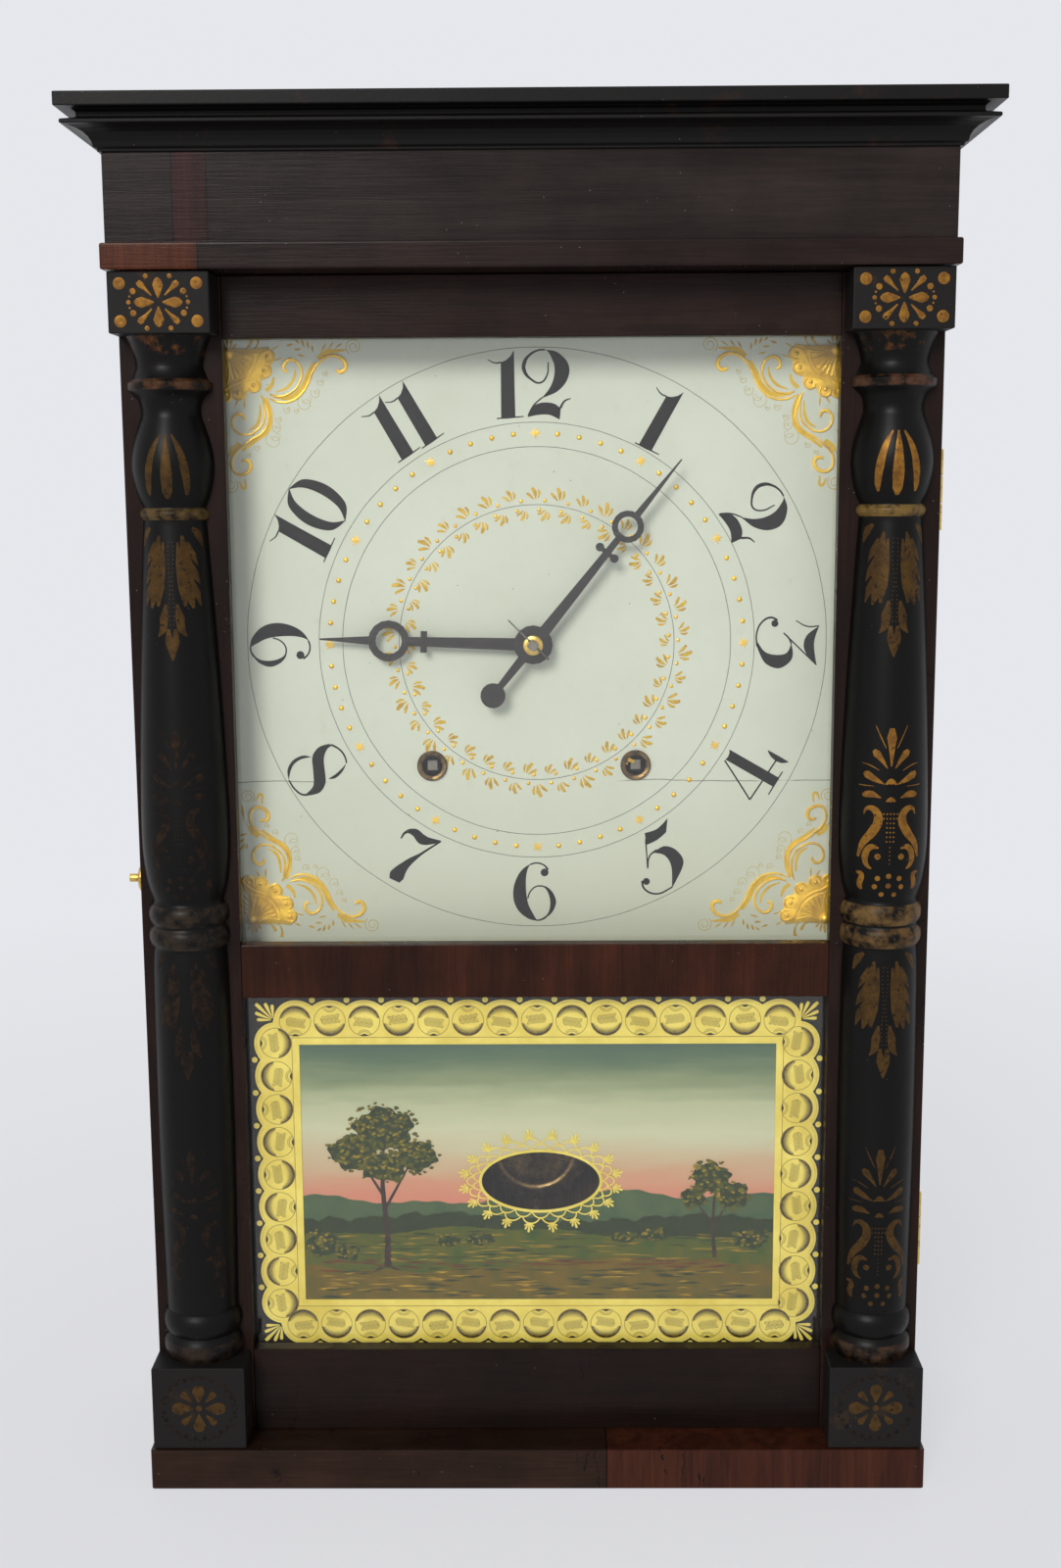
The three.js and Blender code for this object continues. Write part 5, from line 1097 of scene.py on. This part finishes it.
pin.data.transform(Matrix.Translation((0, handFace - pinPlan["proud"] * mm, dialUp * mm)))
finishPiece(pin, "taper_pin", "minute", "bareSteel", 50)
print("collets, washer and pin fitted")

# reverse painting on the back of the lower glass
tablet = dict(left=-128.7, right=130.2, top=232.1, bottom=72.8, acrossPitch=17.12, acrossFrom=-118.8, acrossCount=15,
    upPitch=17.1, upFrom=220.8, upCount=9, scallop=13.6, scallopIn=2.9, spread=38.0, endReach=10.7, ringHalf=7.75,
    dotReach=10.7, picture=(-117.1, 86.0, 119.4, 220.0), filletOut=3.6, filletHalf=0.16,
    ground=(-146.0, 59.5, 146.0, 250.5), oval=(2.4, 148.7), ovalWide=29.6, ovalHigh=15.2)
# from the glass backwards
layer = dict(mark=glassBack + 0.08 * mm, gold=glassBack + 0.1 * mm, ground=glassBack + 0.2 * mm,
    sky=glassBack + 0.54 * mm)
rows = dict(right=[], top=[], left=[], low=[])  # each medallion is (across, up, outward angle, number)
for i in range(tablet["acrossCount"]):
    x = tablet["acrossFrom"] + i * tablet["acrossPitch"]
    rows["top"].append((x, tablet["top"], math.pi / 2, i))
    rows["low"].append((x, tablet["bottom"], -math.pi / 2, i + 1))
for i in range(tablet["upCount"]):
    z = tablet["upFrom"] - i * tablet["upPitch"]
    rows["left"].append((tablet["left"], z, math.pi, i + 1))
    rows["right"].append((tablet["right"], z, 0.0, i))
rows["top"].reverse()
rows["right"].reverse()
medallions = [medallion for row in rows.values() for medallion in row]


def scallopPoint(medallion, degrees, inward=0.0, end=False):
    x, z, out, number = medallion
    angle = out + math.radians(degrees)
    if end:
        return roundFrom((x, z), tablet["endReach"] - inward, angle)
    return roundFrom(roundFrom((x, z), -tablet["scallopIn"], out), tablet["scallop"] - inward, angle)


def onGlass(name, key, strokes, closed=(), face=layer["mark"], relief=0.05, turns=2, sides=1, knee=0.1):
    return inkStrokes(name, strokes, closed, face, relief, knee, "door", key, turns, sides)


edge, millLines = [], []
for row in rows.values():  # anticlockwise round the border
    for medallion in row:
        first, last = medallion is row[0], medallion is row[-1]
        for share in range(-8, 9):
            if (share < 0 and first) or (share > 0 and last):
                edge.append(scallopPoint(medallion, share * 10.4, 0.0, True))
            else:
                edge.append(scallopPoint(medallion, tablet["spread"] * share / 8))
        for share in range(-9, 10):
            atEnd = (share < 0 and first) or (share > 0 and last)
            degrees = share * (8.4 if atEnd else 3.7)
            millLines.append([scallopPoint(medallion, degrees, 0.75, atEnd) + (0.09,),
                scallopPoint(medallion, degrees + (1.2 if atEnd else 0.9), 1.25, atEnd) + (0.09,)])

x0, z0, x1, z1 = tablet["picture"]
cutSheet("tablet_gold_border", [edge, rectangle(x0, z0, x1, z1)], layer["gold"], 0.08, "door", "leafGold")
goldDots = []
for row in (rows["top"], rows["low"], rows["left"], rows["right"]):
    for here, after in zip(row, row[1:]):
        goldDots.append(roundFrom(((here[0] + after[0]) / 2, (here[1] + after[1]) / 2), tablet["dotReach"], here[2]))
onGlass("tablet_gold_dots", "leafGold", [], [circle(0.8, 0.8, spot, 6) for spot in goldDots],
    layer["gold"] + 0.08 * mm, 0.08, knee=0.05)
palmettes = []
for right, top in ((0, 0), (1, 0), (0, 1), (1, 1)):
    root = ((tablet["right"] + 0.9 if right else tablet["left"] - 0.9),
        (tablet["top"] + 0.4 if top else tablet["bottom"] - 0.4))
    middle = math.atan2(1 if top else -1, 1 if right else -1)
    for lean, long, fat in ((-42, 8.0, 0.95), (-21, 9.6, 1.0), (0, 12.0, 1.1), (21, 9.6, 1.0), (42, 8.0, 0.95)):
        palmettes.append(turned([(1.2, 0, 0.15), (long * 0.5, 0, fat * 0.6), (long * 0.82, 0, fat),
            (long, 0, fat * 0.8)], middle + math.radians(lean), *root))
onGlass("tablet_palmettes", "leafGold", palmettes, (), layer["gold"] + 0.08 * mm, 0.08, 4)

sprigPlan = dict(leaf=2.7, leafHalf=0.55, stem=4.6, shadeRim=7.6, shadeArc=7.25, shadeTurn=77, hatches=28, eyeAt=8.3)
incised, openLeaves, rims, shadeStrokes, eyes = [], [], [], [], []
for x, z, out, number in medallions:
    centre = (x, z)
    swing = out if number % 2 == 0 else out + math.pi  # side of the medallion that carries the hatched shade
    back = swing + math.pi
    rims.append(circle(tablet["ringHalf"], 0.16, centre, 16))
    shadeStrokes.append([roundFrom(centre, sprigPlan["shadeArc"], swing + math.radians(a),
        0.12 + 0.55 * math.cos(math.radians(a * 1.15))) for a in range(-75, 76, 15)])
    for k in range(sprigPlan["hatches"] + 1):
        lean = math.radians(sprigPlan["shadeTurn"] * (2 * k / sprigPlan["hatches"] - 1))
        depth = (3.6 if k % 2 else 2.6) * max(math.cos(lean), 0.0) ** 0.7 + 0.3
        shadeStrokes.append([roundFrom(centre, sprigPlan["shadeRim"] - depth * share, swing + lean, half)
            for share, half in ((0, 0.34), (0.55, 0.2), (1, 0.04))])
    eyes.append([roundFrom(centre, r, back + a, half) for r, a, half in ((7.7, -0.27, 0.1), (7.35, -0.13, 0.45),
        (7.15, 0, 0.62), (7.35, 0.13, 0.45), (7.7, 0.27, 0.1))])
    for reach in (2.9, 3.7):
        eye = roundFrom(centre, sprigPlan["eyeAt"], back)
        incised.append([roundFrom(eye, -reach, back + a, 0.13) for a in (-1.2, -0.6, 0, 0.6, 1.2)])
    lean = (0.14 if number % 2 else -0.14) + (0 if abs(math.sin(out)) > 0.5 else math.pi / 2) + (math.pi
        if number % 4 > 1 else 0)
    lift = -0.8 * (1 if math.sin(swing - lean) > 0 else -1)
    incised.append(turned([(sprigPlan["stem"], 0.5 + lift, 0.1), (0, 0.1 + lift, 0.12),
        (-sprigPlan["stem"], 0.4 + lift, 0.1)], lean, x, z))
    leaf, half = sprigPlan["leaf"], sprigPlan["leafHalf"]
    for along, side in ((-4.2, 1), (-4.0, -1), (-1.9, 1), (-1.5, -1), (0.5, 1), (0.9, -1), (2.9, 1), (3.0, -1)):
        loop = turned([(0, 0), (leaf * 0.45, half), (leaf, 0), (leaf * 0.45, -half)], side * 0.75, along,
            0.25 * side + lift)
        openLeaves.append([p + (0.17,) for p in turned(loop, lean, x, z)])
out = tablet["filletOut"]
around = [corner + (tablet["filletHalf"],) for corner in rectangle(x0 - out, z0 - out, x1 + out, z1 + out)]
fillet = [[around[i], around[(i + 1) % 4]] for i in range(4)]
onGlass("medallion_rings", "engraving", fillet + millLines, rims, turns=3, sides=0)
onGlass("medallion_sprigs", "sprigLine", incised, openLeaves, sides=0)
onGlass("medallion_shading", "umber", shadeStrokes, face=layer["mark"] + 0.01 * mm, sides=0)
onGlass("medallion_eyes", "glassBlack", eyes, face=layer["mark"] + 0.01 * mm, turns=3, sides=0)
print("tablet border painted")

# lace border round the clear oval
ovalAt = lambda grow, angle: (tablet["oval"][0] + (tablet["ovalWide"] + grow) * math.cos(angle),
    tablet["oval"][1] + (tablet["ovalHigh"] + grow) * math.sin(angle))
lacePlan = dict(
    arches=22, sprays=20,
    low=(0, (1.4, 3.6, 4.3, 3.6, 1.4), (0.3, 0.4, 0.42, 0.4, 0.3)),  # steps along, heights, half widths
    high=(1, (3.9, 6.6, 7.3, 6.6, 3.9), (0.32, 0.42, 0.44, 0.42, 0.32)),
)
lace, step = [], math.pi / lacePlan["arches"]
for here in fullTurn(lacePlan["arches"]):
    for shift, heights, halves in (lacePlan["low"], lacePlan["high"]):
        spotsAlong = [ovalAt(heights[k], here + step * (shift + k / 2)) for k in range(5)]
        lace.append([spot + (half,) for spot, half in zip(spotsAlong, halves)])
for angle in [a + math.pi / lacePlan["sprays"] for a in fullTurn(lacePlan["sprays"])]:
    start = ovalAt(7.0, angle)
    normal = math.atan2(math.sin(angle) * (tablet["ovalWide"] + 7), math.cos(angle) * (tablet["ovalHigh"] + 7))
    for lean, long, fat in ((-0.95, 3.0, 0.5), (-0.48, 4.2, 0.6), (0.0, 5.2, 0.72), (0.48, 4.2, 0.6),
            (0.95, 3.0, 0.5)):
        lace.append(turned([(0, 0, 0.18), (long * 0.6, 0, fat * 0.8), (long * 0.86, 0, fat), (long, 0, fat * 0.5)],
            normal + lean, *start))
ovalRing = [ovalAt(0.7, a) + (0.85,) for a in fullTurn(40)]
onGlass("oval_lace", "leafGold", lace, [ovalRing], layer["gold"] + 0.08 * mm, 0.08, 3)

# black ground, and a plain country view in place of a picture
hole = ellipse(tablet["oval"], tablet["ovalWide"], tablet["ovalHigh"], 64)
cutSheet("tablet_black_ground", [rectangle(*tablet["ground"]), rectangle(x0, z0, x1, z1)], layer["ground"], 0.06,
    "door", "glassBlack")
cutSheet("tablet_sky", [rectangle(x0 - 1, z0 - 1, x1 + 1, z1 + 1), hole], layer["sky"], 0.06, "door", "sky")


overlap = 0.8  # how far the painted land reaches past the picture, under the black ground, mm


def ridgeLine(low, rise, waves, count=90):
    made = []
    for i in range(count + 1):
        x = x0 - overlap + (x1 - x0 + 2 * overlap) * i / count
        made.append((x, low + sum(size * math.sin(x * rate + phase)
            for size, rate, phase in waves) + rise * (i / count)))
    return made


def lowerOval(level):  # the oval's edge below a height, from right to left
    cx, cz = tablet["oval"]
    share = min(max((level - cz) / tablet["ovalHigh"], -0.999), 0.999)
    right = math.asin(share)
    left = -math.pi - right
    return [(cx + tablet["ovalWide"] * math.cos(right + (left - right) * k / 30),
        cz + tablet["ovalHigh"] * math.sin(right + (left - right) * k / 30)) for k in range(31)]


def landStrip(name, ridge, number, key):
    # a ridge that meets the oval is cut round it, so that the window stays open
    cx, cz = tablet["oval"]
    upper, bitten = [], False
    for x, z in reversed(ridge):
        if ((x - cx) / (tablet["ovalWide"] + 0.6)) ** 2 + ((z - cz) / (tablet["ovalHigh"] + 0.6)) ** 2 < 1:
            upper += [] if bitten else lowerOval(z)
            bitten = True
        else:
            upper.append((x, z))
    cutSheet(name, [[(x0 - overlap, z0 - overlap), (x1 + overlap, z0 - overlap)] + upper],
        layer["sky"] - 0.05 * number * mm, 0.04, "door", key)


landStrip("far_hills", ridgeLine(138.0, 5.5, ((2.6, 0.045, 0.6), (1.2, 0.12, 2.0), (0.4, 0.5, 1.0))), 1, "farHill")
landStrip("wood_line",
    ridgeLine(131.0, -2.5, ((1.8, 0.05, 3.6), (0.9, 0.31, 2.0), (0.7, 0.83, 1.0), (0.5, 1.9, 0.4))), 2, "darkLeaves")
landStrip("meadow", ridgeLine(122.5, -2.0, ((2.4, 0.034, 2.4), (0.9, 0.11, 0.0), (0.3, 0.7, 0.0))), 3, "meadow")
landStrip("near_bank", ridgeLine(103.5, 2.0, ((3.0, 0.03, 0.2), (0.8, 0.16, 1.0), (0.3, 0.9, 0.0))), 4, "nearBank")

brush = random.Random(7)
landFace = layer["ground"] + 0.12 * mm


def strokesOn(inset, low, high, count, long, half):  # level touches of the brush over a field
    made = []
    for k in range(count):
        reach = long * brush.uniform(0.5, 1.2)
        x, z = brush.uniform(x0 + inset, x1 - inset - reach), brush.uniform(low, high)
        made.append([(x, z, 0.1), (x + reach * 0.5, z + brush.uniform(-0.5, 0.5), half * brush.uniform(0.6, 1.2)),
            (x + reach, z + brush.uniform(-0.5, 0.5), 0.1)])
    return made


# touches of leaf inside an oval; lit moves them to the upper left
def leafClump(centre, wide, high, count, half, lit=0.0):
    made = []
    for k in range(count):
        angle, reach = brush.uniform(0, 2 * math.pi), math.sqrt(brush.uniform(0, 1))
        x = centre[0] + wide * (reach * math.cos(angle) - lit * 0.25)
        z = centre[1] + high * (reach * math.sin(angle) + lit * 0.25)
        size, lean = half * brush.uniform(0.6, 1.25), brush.uniform(-0.9, 0.9)
        made.append([(x - size * 1.1, z - size * lean, size * 0.35), (x, z, size),
            (x + size * 1.1, z + size * lean * 0.6, size * 0.3)])
    return made


def shadow(centre, wide, high, lumps):  # the dark body of a tree or a bush
    made = []
    for angle in fullTurn(60):
        reach = 1 + 0.09 * math.sin(lumps * angle + centre[0]) + 0.06 * math.sin((lumps * 2 + 1) * angle + centre[1])
        made.append((centre[0] + wide * reach * math.cos(angle), centre[1] + high * reach * math.sin(angle)))
    return made


crowns = [((-76, 176), 17, 13, 5), ((-92, 164), 13, 10, 4), ((-60, 162), 12, 9, 5), ((-76, 156), 13, 8, 4),
    ((88, 150), 11, 9, 5), ((99, 141), 9, 8, 4), ((79, 140), 7, 6, 4)]
bushes = [((-108, 116), 9, 8, 5), ((-95, 111), 7, 5, 4), ((108, 118), 10, 6, 5), ((60, 120), 9, 4, 5),
    ((44, 119), 7, 3.4, 4), ((-28, 118), 8, 3.6, 5), ((-44, 117), 7, 3.2, 4)]
onGlass("field_lights", "ochre", strokesOn(4, 106, 121, 70, 12, 0.35) + strokesOn(6, 88, 101, 60, 10, 0.5), (),
    landFace, 0.03)
onGlass("field_darks", "darkLeaves", strokesOn(4, 108, 124, 46, 14, 0.45) + strokesOn(4, 87, 104, 70, 13, 0.6), (),
    landFace, 0.035)
onGlass("earth_touches", "earth", strokesOn(4, 101, 108, 40, 14, 0.6), (), landFace, 0.04)
trunks = [[(-75, 103, 2.0), (-75, 122, 1.4), (-77, 146, 1.1), (-76, 168, 0.5)], [(-76, 140, 0.9), (-88, 160, 0.4)],
    [(-76, 134, 0.9), (-62, 160, 0.4)], [(-78, 103, 1.0), (-82, 101, 0.3)], [(-73, 103, 1.0), (-68, 101.4, 0.3)],
    [(90, 108, 1.3), (89, 124, 1.0), (90, 146, 0.5)], [(89, 124, 0.6), (98, 140, 0.3)],
    [(89, 126, 0.6), (80, 138, 0.3)]]
onGlass("tree_trunks", "trunk", trunks, (), landFace, 0.04, 3)
for number, (centre, wide, high, lumps) in enumerate(crowns + bushes):
    cutSheet("leaf_shade_" + str(number), [shadow(centre, wide * 0.86, high * 0.86, lumps)],
        landFace - (0.05 + 0.002 * number) * mm, 0.01, "door", "darkLeaves")
leafMid, leafLit = [], []
for centre, wide, high, lumps in crowns + bushes:
    area = wide * high
    leafMid += leafClump(centre, wide * 1.06, high * 1.08, int(area * 0.5), 1.0)
    leafLit += leafClump(centre, wide * 0.8, high * 0.8, int(area * 0.2), 0.8, 1.0)
inkStrokes("leaf_touches", leafMid, face=landFace - 0.07 * mm, relief=0.02, knee=0.3, body="door", key="leaves",
    turns=1)
inkStrokes("leaf_lights", leafLit, face=landFace - 0.075 * mm, relief=0.025, knee=0.3, body="door", key="leafLight",
    turns=1)
print("tablet view painted")

# stencils on the blocks
blockPlan = dict(
    capital=575.2, capitalWide=[(1.9, 0, 0.3), (4.5, 0, 1.4), (7.6, 0, 2.4), (9.7, 0, 1.7), (10.9, 0, 0.4)],
    capitalNarrow=[(4.2, 0, 0.3), (8.0, 0, 0.7), (11.2, 0, 1.5), (12.8, 0, 1.0)],
    capitalDots=((2.7, 17.4, 8.3), (1.4, 11.4, 4.8), (0.5, 12.9, 2.5), (1.1, 5.4, 11.4)),
    base=42.2, baseWide=[(3.0, 0, 0.3), (5.6, 0, 1.5), (9.2, 0, 3.3), (11.8, 0, 2.7), (13.2, 0, 1.2)],
    baseNarrow=[(5.0, 0, 0.3), (7.8, 0, 1.1), (10.3, 0, 1.9), (11.6, 0, 1.1)],
)
dot = lambda half, x, z: circle(half / 2, half / 2, (x, z), 8)


def onBlock(name, key, strokes, closed, relief=0.07, turns=4, sides=2):
    return inkStrokes(name, strokes, closed, blockFace, relief, 0.2, "door", key, turns, sides)


def flower(wide, narrow, spot, flat=1.0):  # eight petals, the wide ones upright and level
    return [turned(narrow if k % 2 else wide, math.radians(45 * k), *spot, size=flat if k in (2, 6) else 1.0)
        for k in range(8)]


for side, sign in (("left", -1), ("right", 1)):
    middle = sign * pillarAcross
    up = blockPlan["capital"]
    petals = flower(blockPlan["capitalWide"], blockPlan["capitalNarrow"], (middle, up))
    dots = [dot(1.0, middle + 13.4 * right, up) for right in (-1, 1)]
    dots += [dot(half, middle + x * right, up + z * over) for half, x, z in blockPlan["capitalDots"]
        for right in (-1, 1) for over in (-1, 1)]
    onBlock("stencil_capital_" + side, "stencilGold", petals, dots)
    up = blockPlan["base"]
    petals = flower(blockPlan["baseWide"], blockPlan["baseNarrow"], (middle, up), 0.93)
    onBlock("stencil_base_" + side, "bronze", petals, [dot(1.5, middle, up)])
    # small ones outside, large ones inside
    beads = ellipse((middle, up), 18.8, 17.2, 48)[::2] + ellipse((middle, up), 17.6, 16.0, 48)[1::2]
    onBlock("stencil_beads_" + side, "bronzeFaint", [],
        [dot(0.7 if i < 24 else 1.3, *bead) for i, bead in enumerate(beads)], 0.06, 2, 1)
print("blocks stencilled")

# stencils on the columns: across from the front line, up from the floor, in mm
hangingLeaf = [
    [(-5.4, 471, 0.6), (-6.6, 463, 2.6), (-7.6, 453, 3.2), (-8.6, 444, 2.8), (-10.4, 437.5, 0.6)],
    [(-3.4, 468, 0.5), (-4.0, 457, 1.6), (-5.2, 447, 2.0), (-6.6, 438.5, 0.8)],
    [(-8.0, 468, 0.6), (-10.6, 462, 1.7), (-13.0, 457.5, 0.3)],
    [(-8.8, 460, 0.8), (-11.6, 453, 2.0), (-14.2, 448.5, 0.3)],
    [(-9.4, 451, 0.8), (-12.2, 444.5, 2.0), (-14.4, 438.5, 0.3)],
    [(-10.5, 474.5, 0.8), (-13.8, 471.5, 2.2), (-16.4, 466.0, 0.6)],
    [(-2.6, 439.5, 0.6), (-3.8, 433.0, 2.2), (-4.4, 428.0, 1.9), (-6.8, 424.5, 0.3)],
    [(-1.7, 428, 0.8), (-1.5, 422, 1.9), (-0.1, 413.5, 0.3)],
]
gores = [[(-2.6, 517, 0.4), (-6.2, 510, 1.5), (-8.6, 501, 2.1), (-9.2, 493, 1.6), (-8.8, 489.5, 0.6)]]
fountain = [
    [(-1.8, 361.5, 0.2), (-4.5, 365.5, 1.1), (-7, 368.5, 1.9), (-8.4, 370, 0.9)],
    [(-3, 354, 0.2), (-8, 356.6, 1.5), (-11.4, 358.5, 1.9), (-13, 359.2, 0.8)],
    [(-4.6, 347.6, 0.2), (-9, 349.2, 1.7), (-12, 349, 1.5), (-13.6, 348.6, 0.6)],
    [(-2.6, 371, 0.15), (-5, 376, 0.3), (-7.5, 381.5, 0.15)],
    [(-5.5, 360.5, 0.15), (-10, 362.8, 0.3), (-14, 363.8, 0.15)], [(-8, 353, 0.15), (-15.5, 353.4, 0.25)],
    [(-12.8, 339.6, 0.3), (-11.2, 342.4, 0.9), (-7.4, 341.8, 1.7), (-5.7, 337.2, 2.2), (-8.4, 331.3, 2.3),
        (-13, 325.6, 1.7), (-15.4, 318.9, 0.7)],
        [(-5.2, 323.6, 0.4), (-8.8, 324.1, 1.5), (-11.6, 319.6, 1.8), (-10.8, 315.4, 1.2), (-8.4, 313.4, 0.4)],
    [(-16, 311.3, 0.5), (-13.2, 310.4, 1.4), (-14, 305.2, 1.7), (-12.8, 302.8, 0.7)],
]
middleLines = dict(gores=[[(0, 517, 0.4), (0, 508, 1.9), (0, 499, 2.8), (0, 491, 2.3), (0, 487.8, 0.8)]],
    fountain=[[(0, 362.5, 0.3), (0, 370, 1.3), (0, 376, 2.3), (0, 380.4, 1.1)],
        [(-2.6, 354, 0.3), (0, 355.4, 1.6), (2.6, 354, 0.3)], [(-2.2, 346, 0.3), (0, 346.8, 1.4), (2.2, 346, 0.3)]])
fountainDots = [(1.5, -5.6, 319.5), (1.3, 0, 310), (1.3, 0, 305.2), (1.3, -5.2, 308.8), (1.3, -6.4, 304.6),
    (1.2, -3.0, 300.8)] + [(0.4, -x, 340 - 2.2 * k) for k in range(7) for x in (0.0, 1.6, 3.2)
    if x < 3.8 - 0.3 * k] + [(0.3, 0, 324 - 2 * k) for k in range(5)]
leafDots = [(0.3, -0.9 - 0.35 * math.sin(k * 0.5), 468 - 2 * k) for k in range(20)]


def bothSides(lines, middle=()):
    return list(lines) + [[(-p[0],) + tuple(p[1:]) for p in line] for line in lines] + list(middle)


leafDrop, fountainDrop = 203, 206  # how far the lower leaf and fountain lie below the upper ones


def lowered(lines, drop):
    return [[(p[0], p[1] - drop) + tuple(p[2:]) for p in line] for line in lines]


def spots(marks, drop=0.0):
    made = []
    for half, x, z in marks:
        made += [dot(half, x, z - drop)] + ([dot(half, -x, z - drop)] if x else [])
    return made


def stencilColumn(name, sign, lines, dots, key):
    piece = drawStrokes(lines, dots, turns=4, sides=3)
    wrapOnColumn(piece, sign, 0.1, 0.35)
    finishPiece(piece, name, "door", key, 60)


leafLines = bothSides(hangingLeaf)
goreLines = bothSides(gores, middleLines["gores"])
fountainLines = bothSides(fountain, middleLines["fountain"])
stencilColumn("stencil_gores_right", 1, goreLines, [], "stencilGold")
stencilColumn("stencil_leaf_right", 1, leafLines, spots(leafDots), "bronze")
stencilColumn("stencil_fountain_right", 1, fountainLines, spots(fountainDots), "stencilGold")
stencilColumn("stencil_low_leaf_right", 1, lowered(leafLines, leafDrop), spots(leafDots, leafDrop), "bronze")
stencilColumn("stencil_low_fountain_right", 1, lowered(fountainLines, fountainDrop),
    spots(fountainDots, fountainDrop), "bronze")
stencilColumn("stencil_gores_left", -1, goreLines, [], "bronze")
stencilColumn("stencil_leaf_left", -1, leafLines, spots(leafDots), "bronze")
rubbedLines = fountainLines + lowered(leafLines, leafDrop) + lowered(fountainLines, fountainDrop)
stencilColumn("stencil_rubbed_left", -1, rubbedLines, spots(fountainDots), "bronzeFaint")
print("columns stencilled")

# pendulum bob
bobPlan = dict(centre=155.5, flutes=56, fluteIn=1.0, fluteOut=18.0, deep=0.28, twist=0.016)


def makeBob():
    near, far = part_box("pendulum_bob")[0][1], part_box("pendulum_bob")[1][1]
    deep = (far - near) / mm
    profile = [(0.0, 0.9), (6.0, 0.7), (12.0, 0.75), (17.0, 1.3), (18.4, 1.9), (19.2, 1.2), (20.4, 1.0), (21.8, 1.5),
        (24.4, 2.1), (26.6, 3.0), (27.5, 4.0), (26.8, 5.2), (24.0, 6.4), (14.0, deep - 0.6), (0.0, deep)]
    piece = lathe(inMetres(profile), (0, near, bobPlan["centre"] * mm), "Y", 224)
    for vertex in piece.data.vertices:  # radiating flutes on the front disc, turned like a shell
        x, z = vertex.co.x / mm, vertex.co.z / mm - bobPlan["centre"]
        reach = math.hypot(x, z)
        if bobPlan["fluteIn"] < reach < bobPlan["fluteOut"] and vertex.co.y < near + 2 * mm:
            angle = math.atan2(z, x) + bobPlan["twist"] * reach
            vertex.co.y += bobPlan["deep"] * mm * math.cos(bobPlan["flutes"] * angle) * min(reach / 12, 1.0)
    finishPiece(piece, "fluted_bob", "pendulum", "darkBrass", 50)
    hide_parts("pendulum_bob")


makeBob()
print("bob made")

# lamps, sky and floor
world = bpy.data.worlds.new("studio")
scene.world = world
world.use_nodes = True
sky = world.node_tree
light = sky.nodes["Background"]
light.inputs[0].default_value = (0.93, 0.96, 1.0, 1)
light.inputs[1].default_value = 0.45
seen = addNode(sky, "Background", {0: shade(230, 231, 236), 1: 1.0})
path = addNode(sky, "LightPath")
either = addNode(sky, "MixShader", {1: light.outputs[0], 2: seen.outputs[0]})
mirrored = sumNode(sky, "MAXIMUM", path.outputs["Is Glossy Ray"], path.outputs["Is Transmission Ray"])
sky.links.new(sumNode(sky, "MAXIMUM", path.outputs["Is Camera Ray"], mirrored), either.inputs[0])
sky.links.new(either.outputs[0], sky.nodes["World Output"].inputs[0])

lampPlan = dict(toward=(0.34, 1.0, -0.5), strength=1.9, soft=22.0)
sun = bpy.data.objects.new("keyLamp", bpy.data.lights.new("keyLamp", "SUN"))
sun.data.energy = lampPlan["strength"]
sun.data.angle = math.radians(lampPlan["soft"])
sun.data.color = (1.0, 0.985, 0.96)
sun.rotation_euler = Vector(lampPlan["toward"]).to_track_quat("-Z", "Y").to_euler()
scene.collection.objects.link(sun)

clearSelection()
bpy.ops.mesh.primitive_circle_add(vertices=96, radius=9.0, fill_type="NGON", location=(0, 0, -0.0002))
floor = bpy.context.object
floor.name = "floor"
material, tree, shader, place = startMaterial("paleFloor", **{"Roughness": 0.7, "Specular IOR Level": 0.2})
tone = placeGroup(tree, patches, {"Place": place, "Scale": 3.0, "Amount": 0.5, "Softness": 0.3})
tree.links.new(blendColors(tree, tone["Mask"], shade(236, 233, 230), shade(232, 229, 227)),
    shader.inputs["Base Color"])
glow = addNode(tree, "Emission", {0: shade(230, 231, 236), 1: 1.0})
away = addNode(tree, "VectorMath", {0: place}, operation="LENGTH")
fade = stepNode(tree, away.outputs["Value"], 0.3, 1.3, 0.72, 1.0)
mix = addNode(tree, "MixShader", {0: fade, 1: shader.outputs[0], 2: glow.outputs[0]})
tree.links.new(mix.outputs[0], tree.nodes["Material Output"].inputs[0])
floor.data.materials.append(material)
print("lamps and floor set")

clearSelection()
